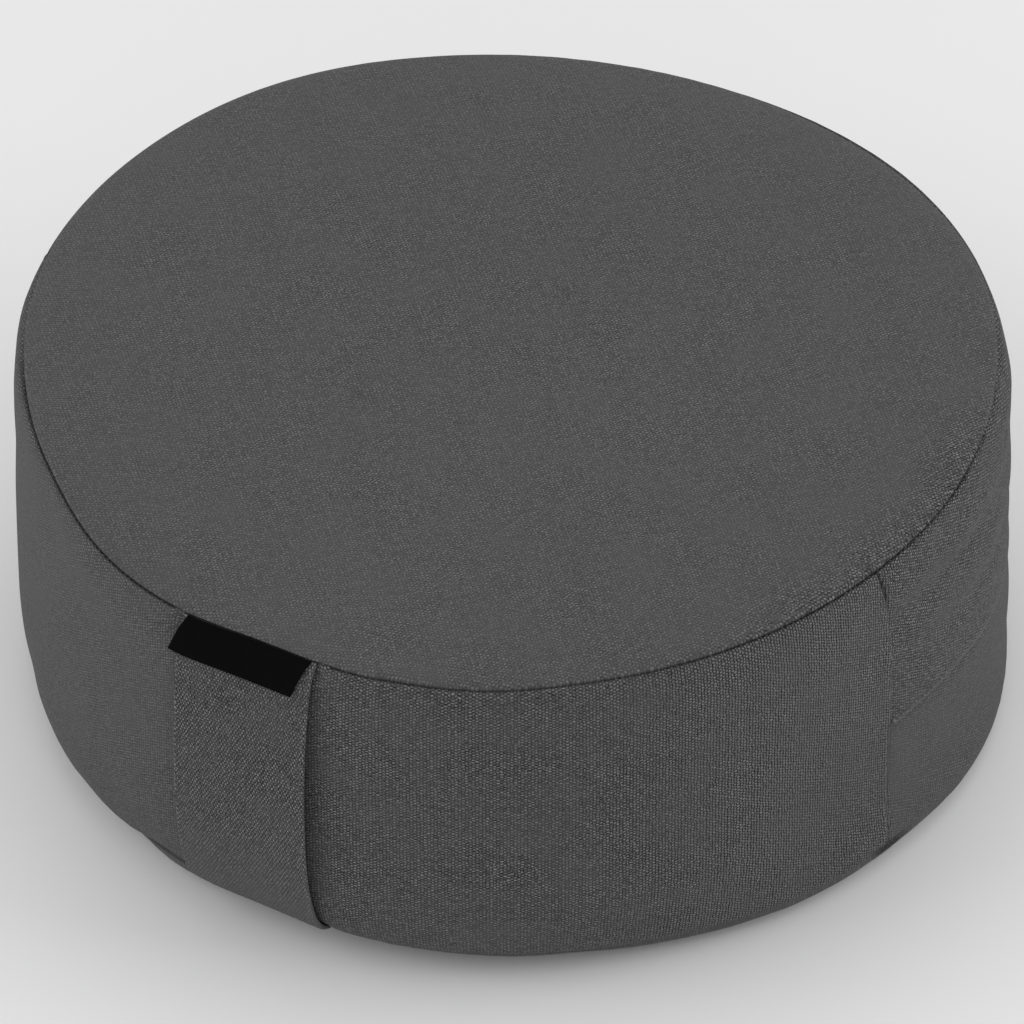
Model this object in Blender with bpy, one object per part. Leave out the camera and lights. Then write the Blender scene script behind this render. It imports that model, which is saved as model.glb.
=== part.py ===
"""Round meditation cushion: a filled drum with a sewn rim and hem, a carry strap and a plain tag.

Frame: metres, +Z up, the floor at z = 0 and the drum's axis on x = y = 0. The strap faces -Y.
An azimuth is in degrees round that axis: 0 is the strap's side, -Y, and 90 is +X.
"""

import math
from collections import namedtuple

import bmesh
import bpy
from mathutils import Vector

# The drum
RIM_RADIUS = 0.186  # mean radius of the rim seam, between the top disc and the band
RIM_WANDER = 0.0026  # the rim is a soft three-sided round, not a true circle
RIM_WANDER_AT = 13.7
RIM_HEIGHT = 0.150
BULGE_DEPTH = 0.060  # how far down the band a bulge of the rim reaches
CROWN = 0.010  # rise of the top disc above the rim seam
TOP_SWELL = 0.0007  # slow unevenness of the filling under the top disc
BELLY = 0.0038  # how far the band stands out beyond the rim seam
SHOULDER = 0.044  # height over which it does so
SLUMP = 0.0062  # on one side the filling has sunk, and the band leans out to the hem
SLUMP_AT = 101.0
SLUMP_REACH = 46.0
SEAM_DRAW = 0.0014  # how deep a seam is drawn in

# On both sides of the strap, which draws the rim in, the filling bulges the rim out
Bulge = namedtuple("Bulge", "name azimuth reach out")
RIM_BULGES = (
    Bulge("left of the strap", -20.0, 20.0, 0.0028),
    Bulge("right of the strap", 29.0, 12.0, 0.0013),
)

# The foot: below FOOT_TOP the band rounds in to the hem seam, by an uneven tuck
FOOT_TOP = 0.060
FOOT_POWER = 2.3
HEM_HEIGHT = 0.010
LEAST_TUCK = 0.0028
TUCK_MEAN = 0.0072
TUCK_ONE_SIDE = 0.0026
TUCK_ONE_SIDE_AT = -64.1
TUCK_TWO_SIDES = 0.0076
TUCK_TWO_SIDES_AT = 10.2
BASE_RUN = 0.020  # from the hem seam in to the flat that rests on the floor
BASE_POWER = 1.8
BASE_DRAW = 0.0016  # the base disc leaves the hem this far below it

# Where the strap or a join is caught in it, the hem is pulled up off the floor
Lift = namedtuple("Lift", "name azimuth reach rise")
HEM_LIFTS = (
    Lift("strap", -3.0, 24.0, 0.0040),
    Lift("right join", 83.0, 12.0, 0.0015),
    Lift("left join", -83.0, 12.0, 0.0015),
)

# The band's two vertical joins, and the concealed zip's lap between them round the back
JOIN_AT = 81.5
JOIN_HALF_WIDTH = 0.0024
JOIN_RIM_PULL = 2.4  # degrees that a join veers towards the strap's side on its way to the rim
JOIN_RIM_FROM = 0.090
JOIN_HEM_PULL = 1.0  # and on its way to the hem
JOIN_HEM_FROM = 0.070
JOIN_PULL_REACH = 12.0
LIP_HEIGHT = 0.070
LIP_SINK = 0.006  # the lip runs this much lower round the back than at the joins
LIP_FOLLOW = 0.044  # rows this far above the lip still follow it down
LAP_RISE = 0.0013
LAP_DEPTH = 0.017
UNDER_LIP = 0.0008
UNDER_LIP_DEPTH = 0.006

# The carry strap
STRAP_WIDTH = 0.057
STRAP_THICKNESS = 0.002
STRAP_BOW = 0.0060  # finger gap behind it at mid height
STRAP_FLAT = 0.85  # how much of the band's curve the strap bridges there
PRESSED = 0.0030  # the strap presses the drum this much flatter
PRESSED_AT = 2.5
PRESSED_REACH = 14.0
CLEARANCE = 0.0004  # gap kept between touching pieces
STRAP_TOP_DROP = 0.0004  # its ends stop this far from the rim and hem seams
STRAP_FOOT_LIFT = 0.0012

# The tag, caught in the rim seam over the strap and lying askew
TAG_WIDTH = 0.053
TAG_HEIGHT = 0.0148
TAG_THICKNESS = 0.001
TAG_SHIFT = 0.0005
TAG_SKEW = -0.0048  # its lower edge lies this far to -X of its upper edge

# Mesh steps
COLUMNS = 90
GATHER = 0.93  # how tightly the columns gather at the joins
GATHER_REACH = 9.0
TOP_ROWS = 10
TOP_ROW_EASE = 1.9
FOOT_ROWS = 9
BASE_ROWS = 6
STRAP_COLUMNS = 8
STRAP_ROWS = 30
TAG_COLUMNS = 8
TAG_ROWS = 4

# Rows of the band from the rim down to the foot
Section = namedtuple("Section", "name top bottom rows")
BAND_SECTIONS = (
    Section("under the rim", 0.1487, 0.1460, 2),
    Section("shoulder", 0.1460, 0.1180, 6),
    Section("upper band", 0.1180, 0.0880, 5),
    Section("zip lap", 0.0880, 0.0704, 5),
    Section("lip", 0.0704, 0.0694, 1),
    Section("lower band", 0.0694, FOOT_TOP, 2),
)

# Soft folds of the rear band: each dies out at its two ends, and drifts in height on its way
Fold = namedtuple("Fold", "name start end height drift rise half_width")
FOLDS = (
    Fold("upper, right join", 79, 118, 0.1330, -0.004, 0.0016, 0.0075),
    Fold("hollow, right join", 80, 124, 0.1215, -0.003, -0.0012, 0.0070),
    Fold("lower, right join", 80, 132, 0.1090, -0.008, 0.0018, 0.0080),
    Fold("lap edge, right", 84, 150, 0.0860, -0.004, 0.0012, 0.0055),
    Fold("back", 140, 205, 0.1120, 0.006, 0.0011, 0.0120),
    Fold("lap edge, left", 206, 276, 0.0830, 0.003, 0.0011, 0.0055),
    Fold("lower, left join", 228, 280, 0.1060, 0.007, 0.0015, 0.0090),
    Fold("upper, left join", 240, 281, 0.1290, 0.003, 0.0013, 0.0080),
)

CLOTH_GREY = (0.088, 0.088, 0.089)
TAG_BLACK = (0.004, 0.004, 0.004)
CLOTH_ROUGHNESS = 0.95
TAG_ROUGHNESS = 0.85


def wave(azimuth, lobes, crest):
    """A cosine round the drum with this many lobes, one of them at the crest's azimuth."""
    return math.cos(lobes * math.radians(azimuth - crest))


def turn_between(azimuth, other):
    """The signed angle from one azimuth to another, the short way round."""
    return (azimuth - other + 180.0) % 360.0 - 180.0


def window(distance, reach):
    """1 at no distance, falling smoothly to 0 at the reach."""
    share = min(1.0, abs(distance) / reach)
    return math.cos(share * math.pi / 2.0) ** 2


def ridge(distance, half_width):
    """A rounded ridge across its line: 1 on it, near 0 at two half widths."""
    return math.exp(-((distance / half_width) ** 2))


def rim_radius(azimuth):
    return RIM_RADIUS + RIM_WANDER * wave(azimuth, 3, RIM_WANDER_AT)


def bulged(azimuth, height):
    """How far the rim, and the band just below it, stands out beside the strap."""
    out = 0.0
    for bulge in RIM_BULGES:
        out += bulge.out * window(turn_between(azimuth, bulge.azimuth), bulge.reach)
    return out * window(RIM_HEIGHT - height, BULGE_DEPTH)


def pressed(azimuth):
    """How far the strap presses the drum in at this azimuth."""
    return PRESSED * window(turn_between(azimuth, PRESSED_AT), PRESSED_REACH)


def slump(azimuth, height):
    """How far the sunken filling pushes the lower band out."""
    down = max(0.0, (FOOT_TOP - height) / (FOOT_TOP - HEM_HEIGHT))
    return SLUMP * down**3 * window(turn_between(azimuth, SLUMP_AT), SLUMP_REACH)


def hem_height(azimuth):
    """The hem seam's height above the floor."""
    height = HEM_HEIGHT
    for lift in HEM_LIFTS:
        height += lift.rise * window(turn_between(azimuth, lift.azimuth), lift.reach)
    return height


def tuck(azimuth):
    """How far the band is drawn in at the hem, more on some sides than on others."""
    drawn = TUCK_MEAN
    drawn += TUCK_ONE_SIDE * wave(azimuth, 1, TUCK_ONE_SIDE_AT)
    drawn += TUCK_TWO_SIDES * wave(azimuth, 2, TUCK_TWO_SIDES_AT)
    return max(LEAST_TUCK, drawn - (hem_height(azimuth) - HEM_HEIGHT))


def join_azimuth(height):
    """Where the right join runs at this height; the left one mirrors it."""
    to_rim = max(0.0, height - JOIN_RIM_FROM) / (RIM_HEIGHT - JOIN_RIM_FROM)
    to_hem = max(0.0, JOIN_HEM_FROM - height) / (JOIN_HEM_FROM - HEM_HEIGHT)
    return JOIN_AT - JOIN_RIM_PULL * to_rim**2 - JOIN_HEM_PULL * to_hem**2


def rear_share(azimuth):
    """1 on the rear band, between the joins round the back, and 0 on the front band."""
    past_join = abs(turn_between(azimuth, 0.0)) - JOIN_AT
    return min(1.0, max(0.0, past_join / 1.5))


def lip_height(azimuth):
    """The lap's lip starts at its full height at a join and sinks over the next 30 degrees."""
    past_join = abs(turn_between(azimuth, 0.0)) - JOIN_AT
    return LIP_HEIGHT - LIP_SINK * (1.0 - window(max(0.0, past_join), 30.0))


def fold_relief(azimuth, height):
    """The sum of the soft folds at this place on the rear band."""
    relief = 0.0
    for fold in FOLDS:
        along = (azimuth % 360.0 - fold.start) / (fold.end - fold.start)
        if 0.0 < along < 1.0:
            line = fold.height + fold.drift * along
            fade = math.sin(math.pi * along**0.7)
            relief += fold.rise * fade * ridge(height - line, fold.half_width)
    return relief


def lap_relief(azimuth, height):
    """The zip's lap stands out above its lip, with a shallow trough just under it."""
    above = height - lip_height(azimuth)
    if above >= 0.0:
        return LAP_RISE * rear_share(azimuth) * window(above, 2.0 * LAP_DEPTH)
    return -UNDER_LIP * rear_share(azimuth) * window(above, UNDER_LIP_DEPTH)


def join_relief(azimuth, height, radius):
    """Each vertical join is a narrow channel."""
    from_join = abs(turn_between(azimuth, 0.0)) - join_azimuth(height)
    return -SEAM_DRAW * ridge(math.radians(from_join) * radius, JOIN_HALF_WIDTH)


def band_radius(azimuth, height):
    """The band above the foot: shoulder, belly, folds, lap and joins."""
    depth = min(1.0, (RIM_HEIGHT - height) / SHOULDER)
    rounded = math.sqrt(max(0.0, 1.0 - (1.0 - depth) ** 2))
    radius = rim_radius(azimuth) + BELLY * rounded - pressed(azimuth)
    radius += bulged(azimuth, height) + slump(azimuth, height)
    relief = fold_relief(azimuth, height) + lap_relief(azimuth, height)
    return radius + relief * rounded + join_relief(azimuth, height, radius)


def rim_seam(azimuth):
    """The bottom of the rim's sewn channel, as radius and height."""
    radius = rim_radius(azimuth) + bulged(azimuth, RIM_HEIGHT) - pressed(azimuth)
    return radius - SEAM_DRAW, RIM_HEIGHT - SEAM_DRAW


def top_point(share, azimuth):
    """The top disc: a low crown that steepens as it comes down to the rim seam."""
    moved = bulged(azimuth, RIM_HEIGHT) - pressed(azimuth)
    radius = share * (rim_radius(azimuth) + share**6 * moved)
    rise = CROWN * (1.0 - share**3) ** 0.55
    swell = TOP_SWELL * wave(azimuth, 2, 40.0) * math.sin(math.pi * share) ** 2
    return radius, RIM_HEIGHT + rise + swell


def band_point(height, azimuth):
    """A row of the band. Near the lip the rows follow the lip as it sinks."""
    sink = LIP_HEIGHT - lip_height(azimuth)
    room = LIP_HEIGHT - FOOT_TOP if height < LIP_HEIGHT else LIP_FOLLOW
    height -= sink * window(height - LIP_HEIGHT, room)
    return band_radius(azimuth, height), height


def foot_down(turn):
    """The share of the way down the foot, where turn 0 is at its top and 1 at the hem."""
    return math.sin(turn * math.pi / 2.0) ** (2.0 / FOOT_POWER)


def foot_point(turn, azimuth):
    """The foot, a quarter of a superellipse."""
    across = math.cos(turn * math.pi / 2.0) ** (2.0 / FOOT_POWER)
    height = FOOT_TOP - (FOOT_TOP - hem_height(azimuth)) * foot_down(turn)
    return band_radius(azimuth, height) - tuck(azimuth) * (1.0 - across), height


def hem_seam(azimuth):
    """The bottom of the hem's sewn channel, as radius and height."""
    radius, height = foot_point(1.0, azimuth)
    return radius - SEAM_DRAW, height + SEAM_DRAW / 3.0


def base_point(turn, azimuth):
    """The base disc from the hem, turn 0, down and in to the flat on the floor, turn 1."""
    inward = 1.0 - math.cos(turn * math.pi / 2.0) ** (2.0 / BASE_POWER)
    up = 1.0 - math.sin(turn * math.pi / 2.0) ** (2.0 / BASE_POWER)
    radius = foot_point(1.0, azimuth)[0] - BASE_RUN * inward
    return radius, (hem_height(azimuth) - BASE_DRAW) * up


def column_azimuths():
    """Even columns round the drum, gathered at the two joins so that their channels show."""
    azimuths = []
    for column in range(COLUMNS):
        azimuth = 360.0 * column / COLUMNS
        for join in (JOIN_AT, -JOIN_AT):
            away = turn_between(azimuth, join)
            azimuth -= away * GATHER * ridge(away, GATHER_REACH)
        azimuths.append(azimuth)
    return azimuths


def pulled_azimuth(azimuth, height):
    """A column beside a join, moved over with the join where the rim or the hem pulls it."""
    side = turn_between(azimuth, 0.0)
    near = window(abs(side) - JOIN_AT, JOIN_PULL_REACH)
    return azimuth + math.copysign(near * (join_azimuth(height) - JOIN_AT), side)


def profile_rows():
    """The drum's rows from the top disc's middle, down the band, to the flat of the base.

    Each row has its shape, a value for it and the height at which it meets the joins."""
    rows = []
    for row in range(1, TOP_ROWS):
        share = 1.0 - (1.0 - row / TOP_ROWS) ** TOP_ROW_EASE
        rows.append((top_point, share, RIM_HEIGHT))
    rows.append((None, rim_seam, RIM_HEIGHT))
    for section in BAND_SECTIONS:
        for row in range(section.rows):
            height = section.top + (section.bottom - section.top) * row / section.rows
            rows.append((band_point, height, height))
    for row in range(FOOT_ROWS):
        height = FOOT_TOP - (FOOT_TOP - HEM_HEIGHT) * foot_down(row / FOOT_ROWS)
        rows.append((foot_point, row / FOOT_ROWS, height))
    rows.append((None, hem_seam, HEM_HEIGHT))
    for row in range(BASE_ROWS + 1):
        rows.append((base_point, row / BASE_ROWS, HEM_HEIGHT))
    return rows


def ring_points(row, azimuths):
    """One row's points round the drum."""
    shape, value, height = row
    points = []
    for azimuth in azimuths:
        azimuth = pulled_azimuth(azimuth, height)
        radius, z = value(azimuth) if shape is None else shape(value, azimuth)
        turn = math.radians(azimuth)
        points.append((radius * math.sin(turn), -radius * math.cos(turn), z))
    return points


def cloth_material(name, colour, roughness):
    material = bpy.data.materials.new(name)
    material.use_nodes = True
    shader = material.node_tree.nodes["Principled BSDF"]
    shader.inputs["Base Color"].default_value = (*colour, 1.0)
    shader.inputs["Roughness"].default_value = roughness
    shader.inputs["Metallic"].default_value = 0.0
    return material


def add_object(name, shape, material):
    """Turns a bmesh into a named, smooth-shaded object of the scene."""
    bmesh.ops.recalc_face_normals(shape, faces=shape.faces)
    mesh = bpy.data.meshes.new(name)
    shape.to_mesh(mesh)
    shape.free()
    mesh.materials.append(material)
    mesh.shade_smooth()
    piece = bpy.data.objects.new(name, mesh)
    bpy.context.scene.collection.objects.link(piece)
    return piece


def make_cushion(material):
    """The filled drum, one solid: top disc, band and base with their sewn channels."""
    azimuths = column_azimuths()
    shape = bmesh.new()
    rings = [
        [shape.verts.new(point) for point in ring_points(row, azimuths)]
        for row in profile_rows()
    ]
    crown = shape.verts.new((0.0, 0.0, RIM_HEIGHT + CROWN))
    base = shape.verts.new((0.0, 0.0, 0.0))
    for column in range(COLUMNS):
        after = (column + 1) % COLUMNS
        shape.faces.new((crown, rings[0][column], rings[0][after]))
        shape.faces.new((base, rings[-1][after], rings[-1][column]))
        for upper, lower in zip(rings, rings[1:]):
            corners = (upper[column], lower[column], lower[after], upper[after])
            shape.faces.new(corners)
    return add_object("cushion", shape, material)


def strap_path(along):
    """The height, and the share of the full bow, along the strap: 0 at the rim, 1 at the hem."""
    top = RIM_HEIGHT - STRAP_TOP_DROP
    foot = hem_height(0.0) + STRAP_FOOT_LIFT
    eased = (1.0 - math.cos(math.pi * along)) / 2.0
    spread = 0.55 * eased + 0.45 * along
    height = top + (foot - top) * spread
    return height, math.sin(math.pi * min(1.0, max(0.0, spread)))


def drum_radius(azimuth, height):
    """The band or the foot, whichever this height is on."""
    if height >= FOOT_TOP:
        return band_radius(azimuth, height)
    down = (FOOT_TOP - height) / (FOOT_TOP - hem_height(azimuth))
    across = (1.0 - min(1.0, down) ** FOOT_POWER) ** (1.0 / FOOT_POWER)
    return band_radius(azimuth, height) - tuck(azimuth) * (1.0 - across)


def strap_inner(across, along):
    """The strap's inner face: on the drum at both ends, bowed out and flatter at mid height."""
    height, bow = strap_path(along)
    middle = drum_radius(0.0, height)
    azimuth = math.degrees(math.asin(across / middle))
    radius = drum_radius(azimuth, height)
    beside = math.sqrt(radius**2 - across**2)
    bridged = STRAP_FLAT * bow * max(0.0, middle - beside)
    return Vector((across, -(beside + CLEARANCE + STRAP_BOW * bow + bridged), height))


def strap_outward(across, along):
    """The direction out of the strap's face."""
    step = 0.01
    low = max(0.0, along - step)
    high = min(1.0, along + step)
    down = strap_inner(across, high) - strap_inner(across, low)
    side = strap_inner(across + 0.001, along) - strap_inner(across - 0.001, along)
    return down.cross(side).normalized()


def sheet(name, columns, rows, place, thickness, material):
    """A sheet of cloth: a grid laid out by the place function, thickened outwards."""
    shape = bmesh.new()
    bmesh.ops.create_grid(shape, x_segments=columns, y_segments=rows, size=0.5)
    for vertex in shape.verts:
        vertex.co = place(vertex.co.x, 0.5 - vertex.co.y)
    piece = add_object(name, shape, material)
    thicken = piece.modifiers.new("thickness", "SOLIDIFY")
    thicken.thickness = thickness
    thicken.offset = 1.0
    thicken.use_even_offset = True
    return piece


def make_strap(material):
    """The carry strap, sewn in at the rim and at the hem."""

    def place(across, along):
        return strap_inner(across * STRAP_WIDTH, along)

    return sheet("carry_strap", STRAP_COLUMNS, STRAP_ROWS, place, STRAP_THICKNESS, material)


def along_strap(run):
    """The place along the strap that lies this far from its upper end, measured on its face."""
    steps = 400
    walked = 0.0
    here = strap_inner(0.0, 0.0)
    for step in range(1, steps + 1):
        ahead = strap_inner(0.0, step / steps)
        walked += (ahead - here).length
        here = ahead
        if walked >= run:
            return step / steps
    return 1.0


def make_tag(material):
    """The plain tag, on the strap's outer face just under the rim."""
    reach = along_strap(TAG_HEIGHT)

    def place(across, along):
        beside = across * TAG_WIDTH + TAG_SHIFT + TAG_SKEW * along
        lift = STRAP_THICKNESS + CLEARANCE
        down = along * reach
        return strap_inner(beside, down) + lift * strap_outward(beside, down)

    return sheet("strap_tag", TAG_COLUMNS, TAG_ROWS, place, TAG_THICKNESS, material)


def main():
    for leftover in list(bpy.data.objects):
        bpy.data.objects.remove(leftover, do_unlink=True)
    cloth = cloth_material("dark_grey_cloth", CLOTH_GREY, CLOTH_ROUGHNESS)
    black = cloth_material("black_tag", TAG_BLACK, TAG_ROUGHNESS)
    make_cushion(cloth)
    make_strap(cloth)
    make_tag(black)


if __name__ == "__main__":
    main()
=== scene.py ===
"""Round meditation cushion: its cloth, seams, carry strap, tag and a plain studio.

Everything is in metres in the part's own frame: +Z up, the floor at z = 0, the drum's axis on
x = y = 0 and the strap facing -Y. An azimuth is in degrees round that axis, 0 at the strap and
90 at +X. Each surface is a grid worked out as whole arrays, rows down it and columns across it.
"""

import math
from collections import namedtuple

import bpy
import numpy as np
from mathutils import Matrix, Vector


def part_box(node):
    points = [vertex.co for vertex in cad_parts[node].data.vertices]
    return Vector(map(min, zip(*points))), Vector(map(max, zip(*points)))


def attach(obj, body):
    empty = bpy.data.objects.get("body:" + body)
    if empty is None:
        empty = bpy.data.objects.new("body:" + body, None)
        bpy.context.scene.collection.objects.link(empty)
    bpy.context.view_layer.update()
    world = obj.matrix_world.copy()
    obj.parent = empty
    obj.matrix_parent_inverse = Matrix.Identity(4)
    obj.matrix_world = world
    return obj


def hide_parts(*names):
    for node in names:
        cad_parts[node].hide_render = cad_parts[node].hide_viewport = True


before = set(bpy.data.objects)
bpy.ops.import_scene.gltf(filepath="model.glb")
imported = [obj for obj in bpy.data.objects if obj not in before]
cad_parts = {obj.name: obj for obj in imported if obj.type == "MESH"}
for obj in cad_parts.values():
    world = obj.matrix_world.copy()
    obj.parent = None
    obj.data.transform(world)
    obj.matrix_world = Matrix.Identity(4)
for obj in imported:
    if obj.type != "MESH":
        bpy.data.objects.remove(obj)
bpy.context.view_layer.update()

bl_info = {
    "name": "Round meditation cushion",
    "version": (1, 0, 0),
    "blender": (4, 5, 0),
    "location": "3D View > Sidebar > Cushion",
    "description": "Builds a filled round cushion with a carry strap and a tag",
    "category": "Add Mesh",
}

CUSHION_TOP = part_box("cushion")[1][2]
MM = 0.001


# ---------------------------------------------------------------- sizes and colours


def number_prop(name, description, default, **more):
    """A plain number that a user may change."""
    return bpy.props.FloatProperty(name=name, description=description, default=default, **more)


def length_prop(name, description, default, **more):
    """A length in metres."""
    return number_prop(name, description, default, unit="LENGTH", **more)


def angle_prop(name, description, degrees):
    """An angle, given here in degrees."""
    return number_prop(name, description, math.radians(degrees), subtype="ANGLE")


def colour_prop(name, description, default):
    """A colour of three parts."""
    return bpy.props.FloatVectorProperty(
        name=name, description=description, default=default, subtype="COLOR", size=3
    )


class DrumSizes(bpy.types.PropertyGroup):
    rim_radius: length_prop("Rim radius", "Mean radius of the seam round the top disc", 0.186)
    rim_wander: length_prop(
        "Rim wander", "How far the rim is from a true circle, in three soft lobes", 0.0026
    )
    rim_height: length_prop("Rim height", "Height of the rim seam above the floor", 0.150)
    crown: length_prop("Crown", "Rise of the top disc above the rim seam", CUSHION_TOP - 0.1503)
    belly: length_prop("Belly", "How far the band stands out beyond the rim seam", 0.0035)
    shoulder: length_prop("Shoulder", "Height over which the band reaches its full belly", 0.044)
    foot_top: length_prop("Foot top", "Height below which the band rounds in to the hem", 0.060)
    hem_height: length_prop("Hem height", "Height of the seam round the base disc", 0.010)
    join_at: number_prop(
        "Join azimuth", "Where the front band meets the rear band, on both sides, in degrees", 81.5
    )
    lip_height: length_prop("Lip height", "Height of the zip lap's lower edge at the joins", 0.070)
    seam_draw: length_prop("Seam draw", "How deep a sewn seam is pulled in", 0.0018)
    fill: number_prop(
        "Fill", "How tightly the drum is stuffed", 0.92, subtype="FACTOR", min=0.0, max=1.0
    )


class StrapSizes(bpy.types.PropertyGroup):
    width: length_prop("Strap width", "Width of the strap", 0.057)
    thickness: length_prop("Strap thickness", "Thickness of the doubled cloth", 0.002)
    bow: length_prop("Strap bow", "Finger gap behind the strap at mid height", 0.0047)


class TagSizes(bpy.types.PropertyGroup):
    width: length_prop("Tag width", "Width of the tag", 0.052)
    height: length_prop("Tag height", "Height of the tag below the rim seam", 0.0148)
    thickness: length_prop("Tag thickness", "Thickness of the tag", 0.001)
    shift: length_prop(
        "Tag shift", "How far the tag's upper edge is to the side of the strap's middle", 0.0
    )
    skew: length_prop(
        "Tag skew", "How far the tag's lower edge lies sideways of its upper edge", -0.0048
    )


class ClothFinish(bpy.types.PropertyGroup):
    grey: colour_prop("Cloth grey", "Colour of the canvas", (0.088, 0.088, 0.089))
    black: colour_prop("Tag black", "Colour of the tag", (0.0030, 0.0030, 0.0031))
    thick_thread: length_prop(
        "Thick threads", "Distance from one thick thread to the next", 0.00128, precision=5
    )
    thin_thread: length_prop(
        "Thin threads",
        "Distance from one thin thread to the next, which cross the thick ones",
        0.00067,
        precision=5,
    )
    disc_turn: angle_prop(
        "Disc weave turn", "Turn of the top disc's threads from the strap's side", 45.8
    )


class StudioSetup(bpy.types.PropertyGroup):
    azimuth: angle_prop("Camera azimuth", "Where the camera stands round the cushion", 30.8)
    elevation: angle_prop("Camera elevation", "Angle of the view above the floor", 41.03)
    distance: length_prop("Camera distance", "From the camera to the middle of the cushion", 4.5)
    lens: number_prop("Lens", "Focal length in millimetres", 412.5)
    floor_white: number_prop("Floor white", "How pale the floor is", 0.92)
    sky: number_prop("Sky", "Strength of the even light all round", 0.57)


# Soft folds of the rear band: each dies out at its two ends, and drifts in height on its way
Fold = namedtuple("Fold", "name start end height drift rise half_width")
FOLDS = (
    Fold("upper, right join", 79, 118, 0.1330, -0.004, 0.0016, 0.0075),
    Fold("hollow, right join", 80, 124, 0.1215, -0.003, -0.0012, 0.0070),
    Fold("lower, right join", 80, 132, 0.1090, -0.008, 0.0018, 0.0080),
    Fold("lap edge, right", 84, 150, 0.0860, -0.004, 0.0008, 0.0055),
    Fold("back", 140, 205, 0.1120, 0.006, 0.0011, 0.0120),
    Fold("lap edge, left", 206, 276, 0.0830, 0.003, 0.0011, 0.0055),
    Fold("lower, left join", 228, 280, 0.1060, 0.007, 0.0015, 0.0090),
    Fold("upper, left join", 240, 281, 0.1290, 0.003, 0.0013, 0.0080),
)
FOLD_EASE = 0.7

# A place round the drum: how far it reaches to each side, and how much it does at its middle
Place = namedtuple("Place", "name azimuth reach amount")

# Where the hem is pulled up off the floor
HEM_LIFTS = (
    Place("strap", -8.0, 20.0, 0.0040),
    Place("right join", 83.0, 12.0, 0.0015),
    Place("left join", -83.0, 12.0, 0.0015),
)

# On both sides of the strap, which draws the rim in, the filling bulges the rim out
RIM_BULGES = (
    Place("left of the strap", -20.0, 20.0, 0.0028),
    Place("right of the strap", 29.0, 12.0, 0.0013),
    Place("right", 64.0, 34.0, 0.0007),
    Place("back right", 149.0, 24.0, 0.0004),
    Place("back", 205.0, 34.0, -0.0005),
    Place("back left", 239.0, 22.0, 0.0009),
)
BULGE_DEPTH = 0.060

# Towards the right the rim is rolled inwards over a full shoulder
RIM_ROLL = Place("right", 116.0, 25.0, -0.0020)
ROLL_DEPTH = 0.010

# Where the band's shoulder is so full that it shows over the rim from the far side
SHOULDERS = (
    Place("back right", 164.0, 30.0, 0.0020),
    Place("left", -62.0, 20.0, 0.0014),
    Place("right", 120.0, 18.0, 0.0016),
)
SHOULDER_ROUND = 0.004
SHOULDER_DEPTH = 0.045

# Where the filling has settled unevenly, the band stands out or falls in a little
Swell = namedtuple("Swell", "name azimuth reach height spread out")
SWELLS = (
    Swell("left shoulder", -75.0, 13.0, 0.138, 0.017, 0.0017),
    Swell("left side", -54.0, 30.0, 0.118, 0.030, -0.0008),
    Swell("left foot", -30.0, 20.0, 0.020, 0.032, 0.0015),
    Swell("front foot", 44.0, 20.0, 0.016, 0.030, -0.0013),
    Swell("right foot", 77.0, 14.0, 0.016, 0.030, 0.0006),
    Swell("right side", 121.0, 26.0, 0.088, 0.030, -0.0006),
    Swell("right waist", 118.0, 28.0, 0.042, 0.020, 0.0012),
)

# Where the sunken filling leans the lower band out
SLUMP = Place("right", 101.0, 46.0, 0.0062)

# Where the hem shows as a line of painted shade over the edge of the base: how far the hem rises,
# how far the band is let out there or, if negative, tucked in, and how far the base bulges out
HemShow = namedtuple("HemShow", "name azimuth reach rise loose bulge")
HEM_SHOWS = (
    HemShow("left of the strap", -13.5, 9.5, 0.0056, -0.0022, 0.0004),
    HemShow("right join", 81.5, 4.5, 0.0, 0.0, 0.0006),
)
HEM_FREE_FROM = 7.6
HEM_FREE_EDGE = 2.4

# The lap's folded lip in section, in millimetres: out from the band, up from the lip, and up
# from it on the front band, which has no lip and takes these rows evenly
LIP_SECTION = MM * np.array([
    [0.70, 2.2, 2.2],
    [0.86, 1.2, 1.6],
    [0.92, 0.4, 1.0],
    [0.80, -0.1, 0.5],
    [0.50, -0.2, 0.0],
    [0.20, 0.2, -0.4],
    [-0.10, 1.0, -0.8],
    [-0.50, 1.5, -1.2],
    [-0.95, 0.9, -1.6],
    [-0.90, -0.4, -2.0],
    [-0.50, -2.0, -2.8],
])
LIP_OUT, LIP_UP, LIP_EVEN = LIP_SECTION.T[..., None]
LIP_SINK = 0.006
LIP_SINK_REACH = 30.0
LIP_FOLLOW = 0.044
LAP_RISE = 0.0007
LAP_DEPTH = 0.017
UNDER_LIP = 0.0004
UNDER_LIP_DEPTH = 0.006

# The rim, the top disc, the foot and the base
RIM_WANDER_AT = 13.7
TOP_POWER = 0.55
TOP_SWELL = 0.0007
TOP_SWELL_AT = 40.0
FOOT_POWER = 2.3
LEAST_TUCK = 0.0028
TUCK_MEAN = 0.0072
TUCK_ONE_SIDE = 0.0026
TUCK_ONE_SIDE_AT = -64.1
TUCK_TWO_SIDES = 0.0076
TUCK_TWO_SIDES_AT = 10.2
BASE_RUN = 0.020
BASE_POWER = 1.8
BASE_DRAW = 0.0016
BASE_BULGE_AT = 0.34

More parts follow.
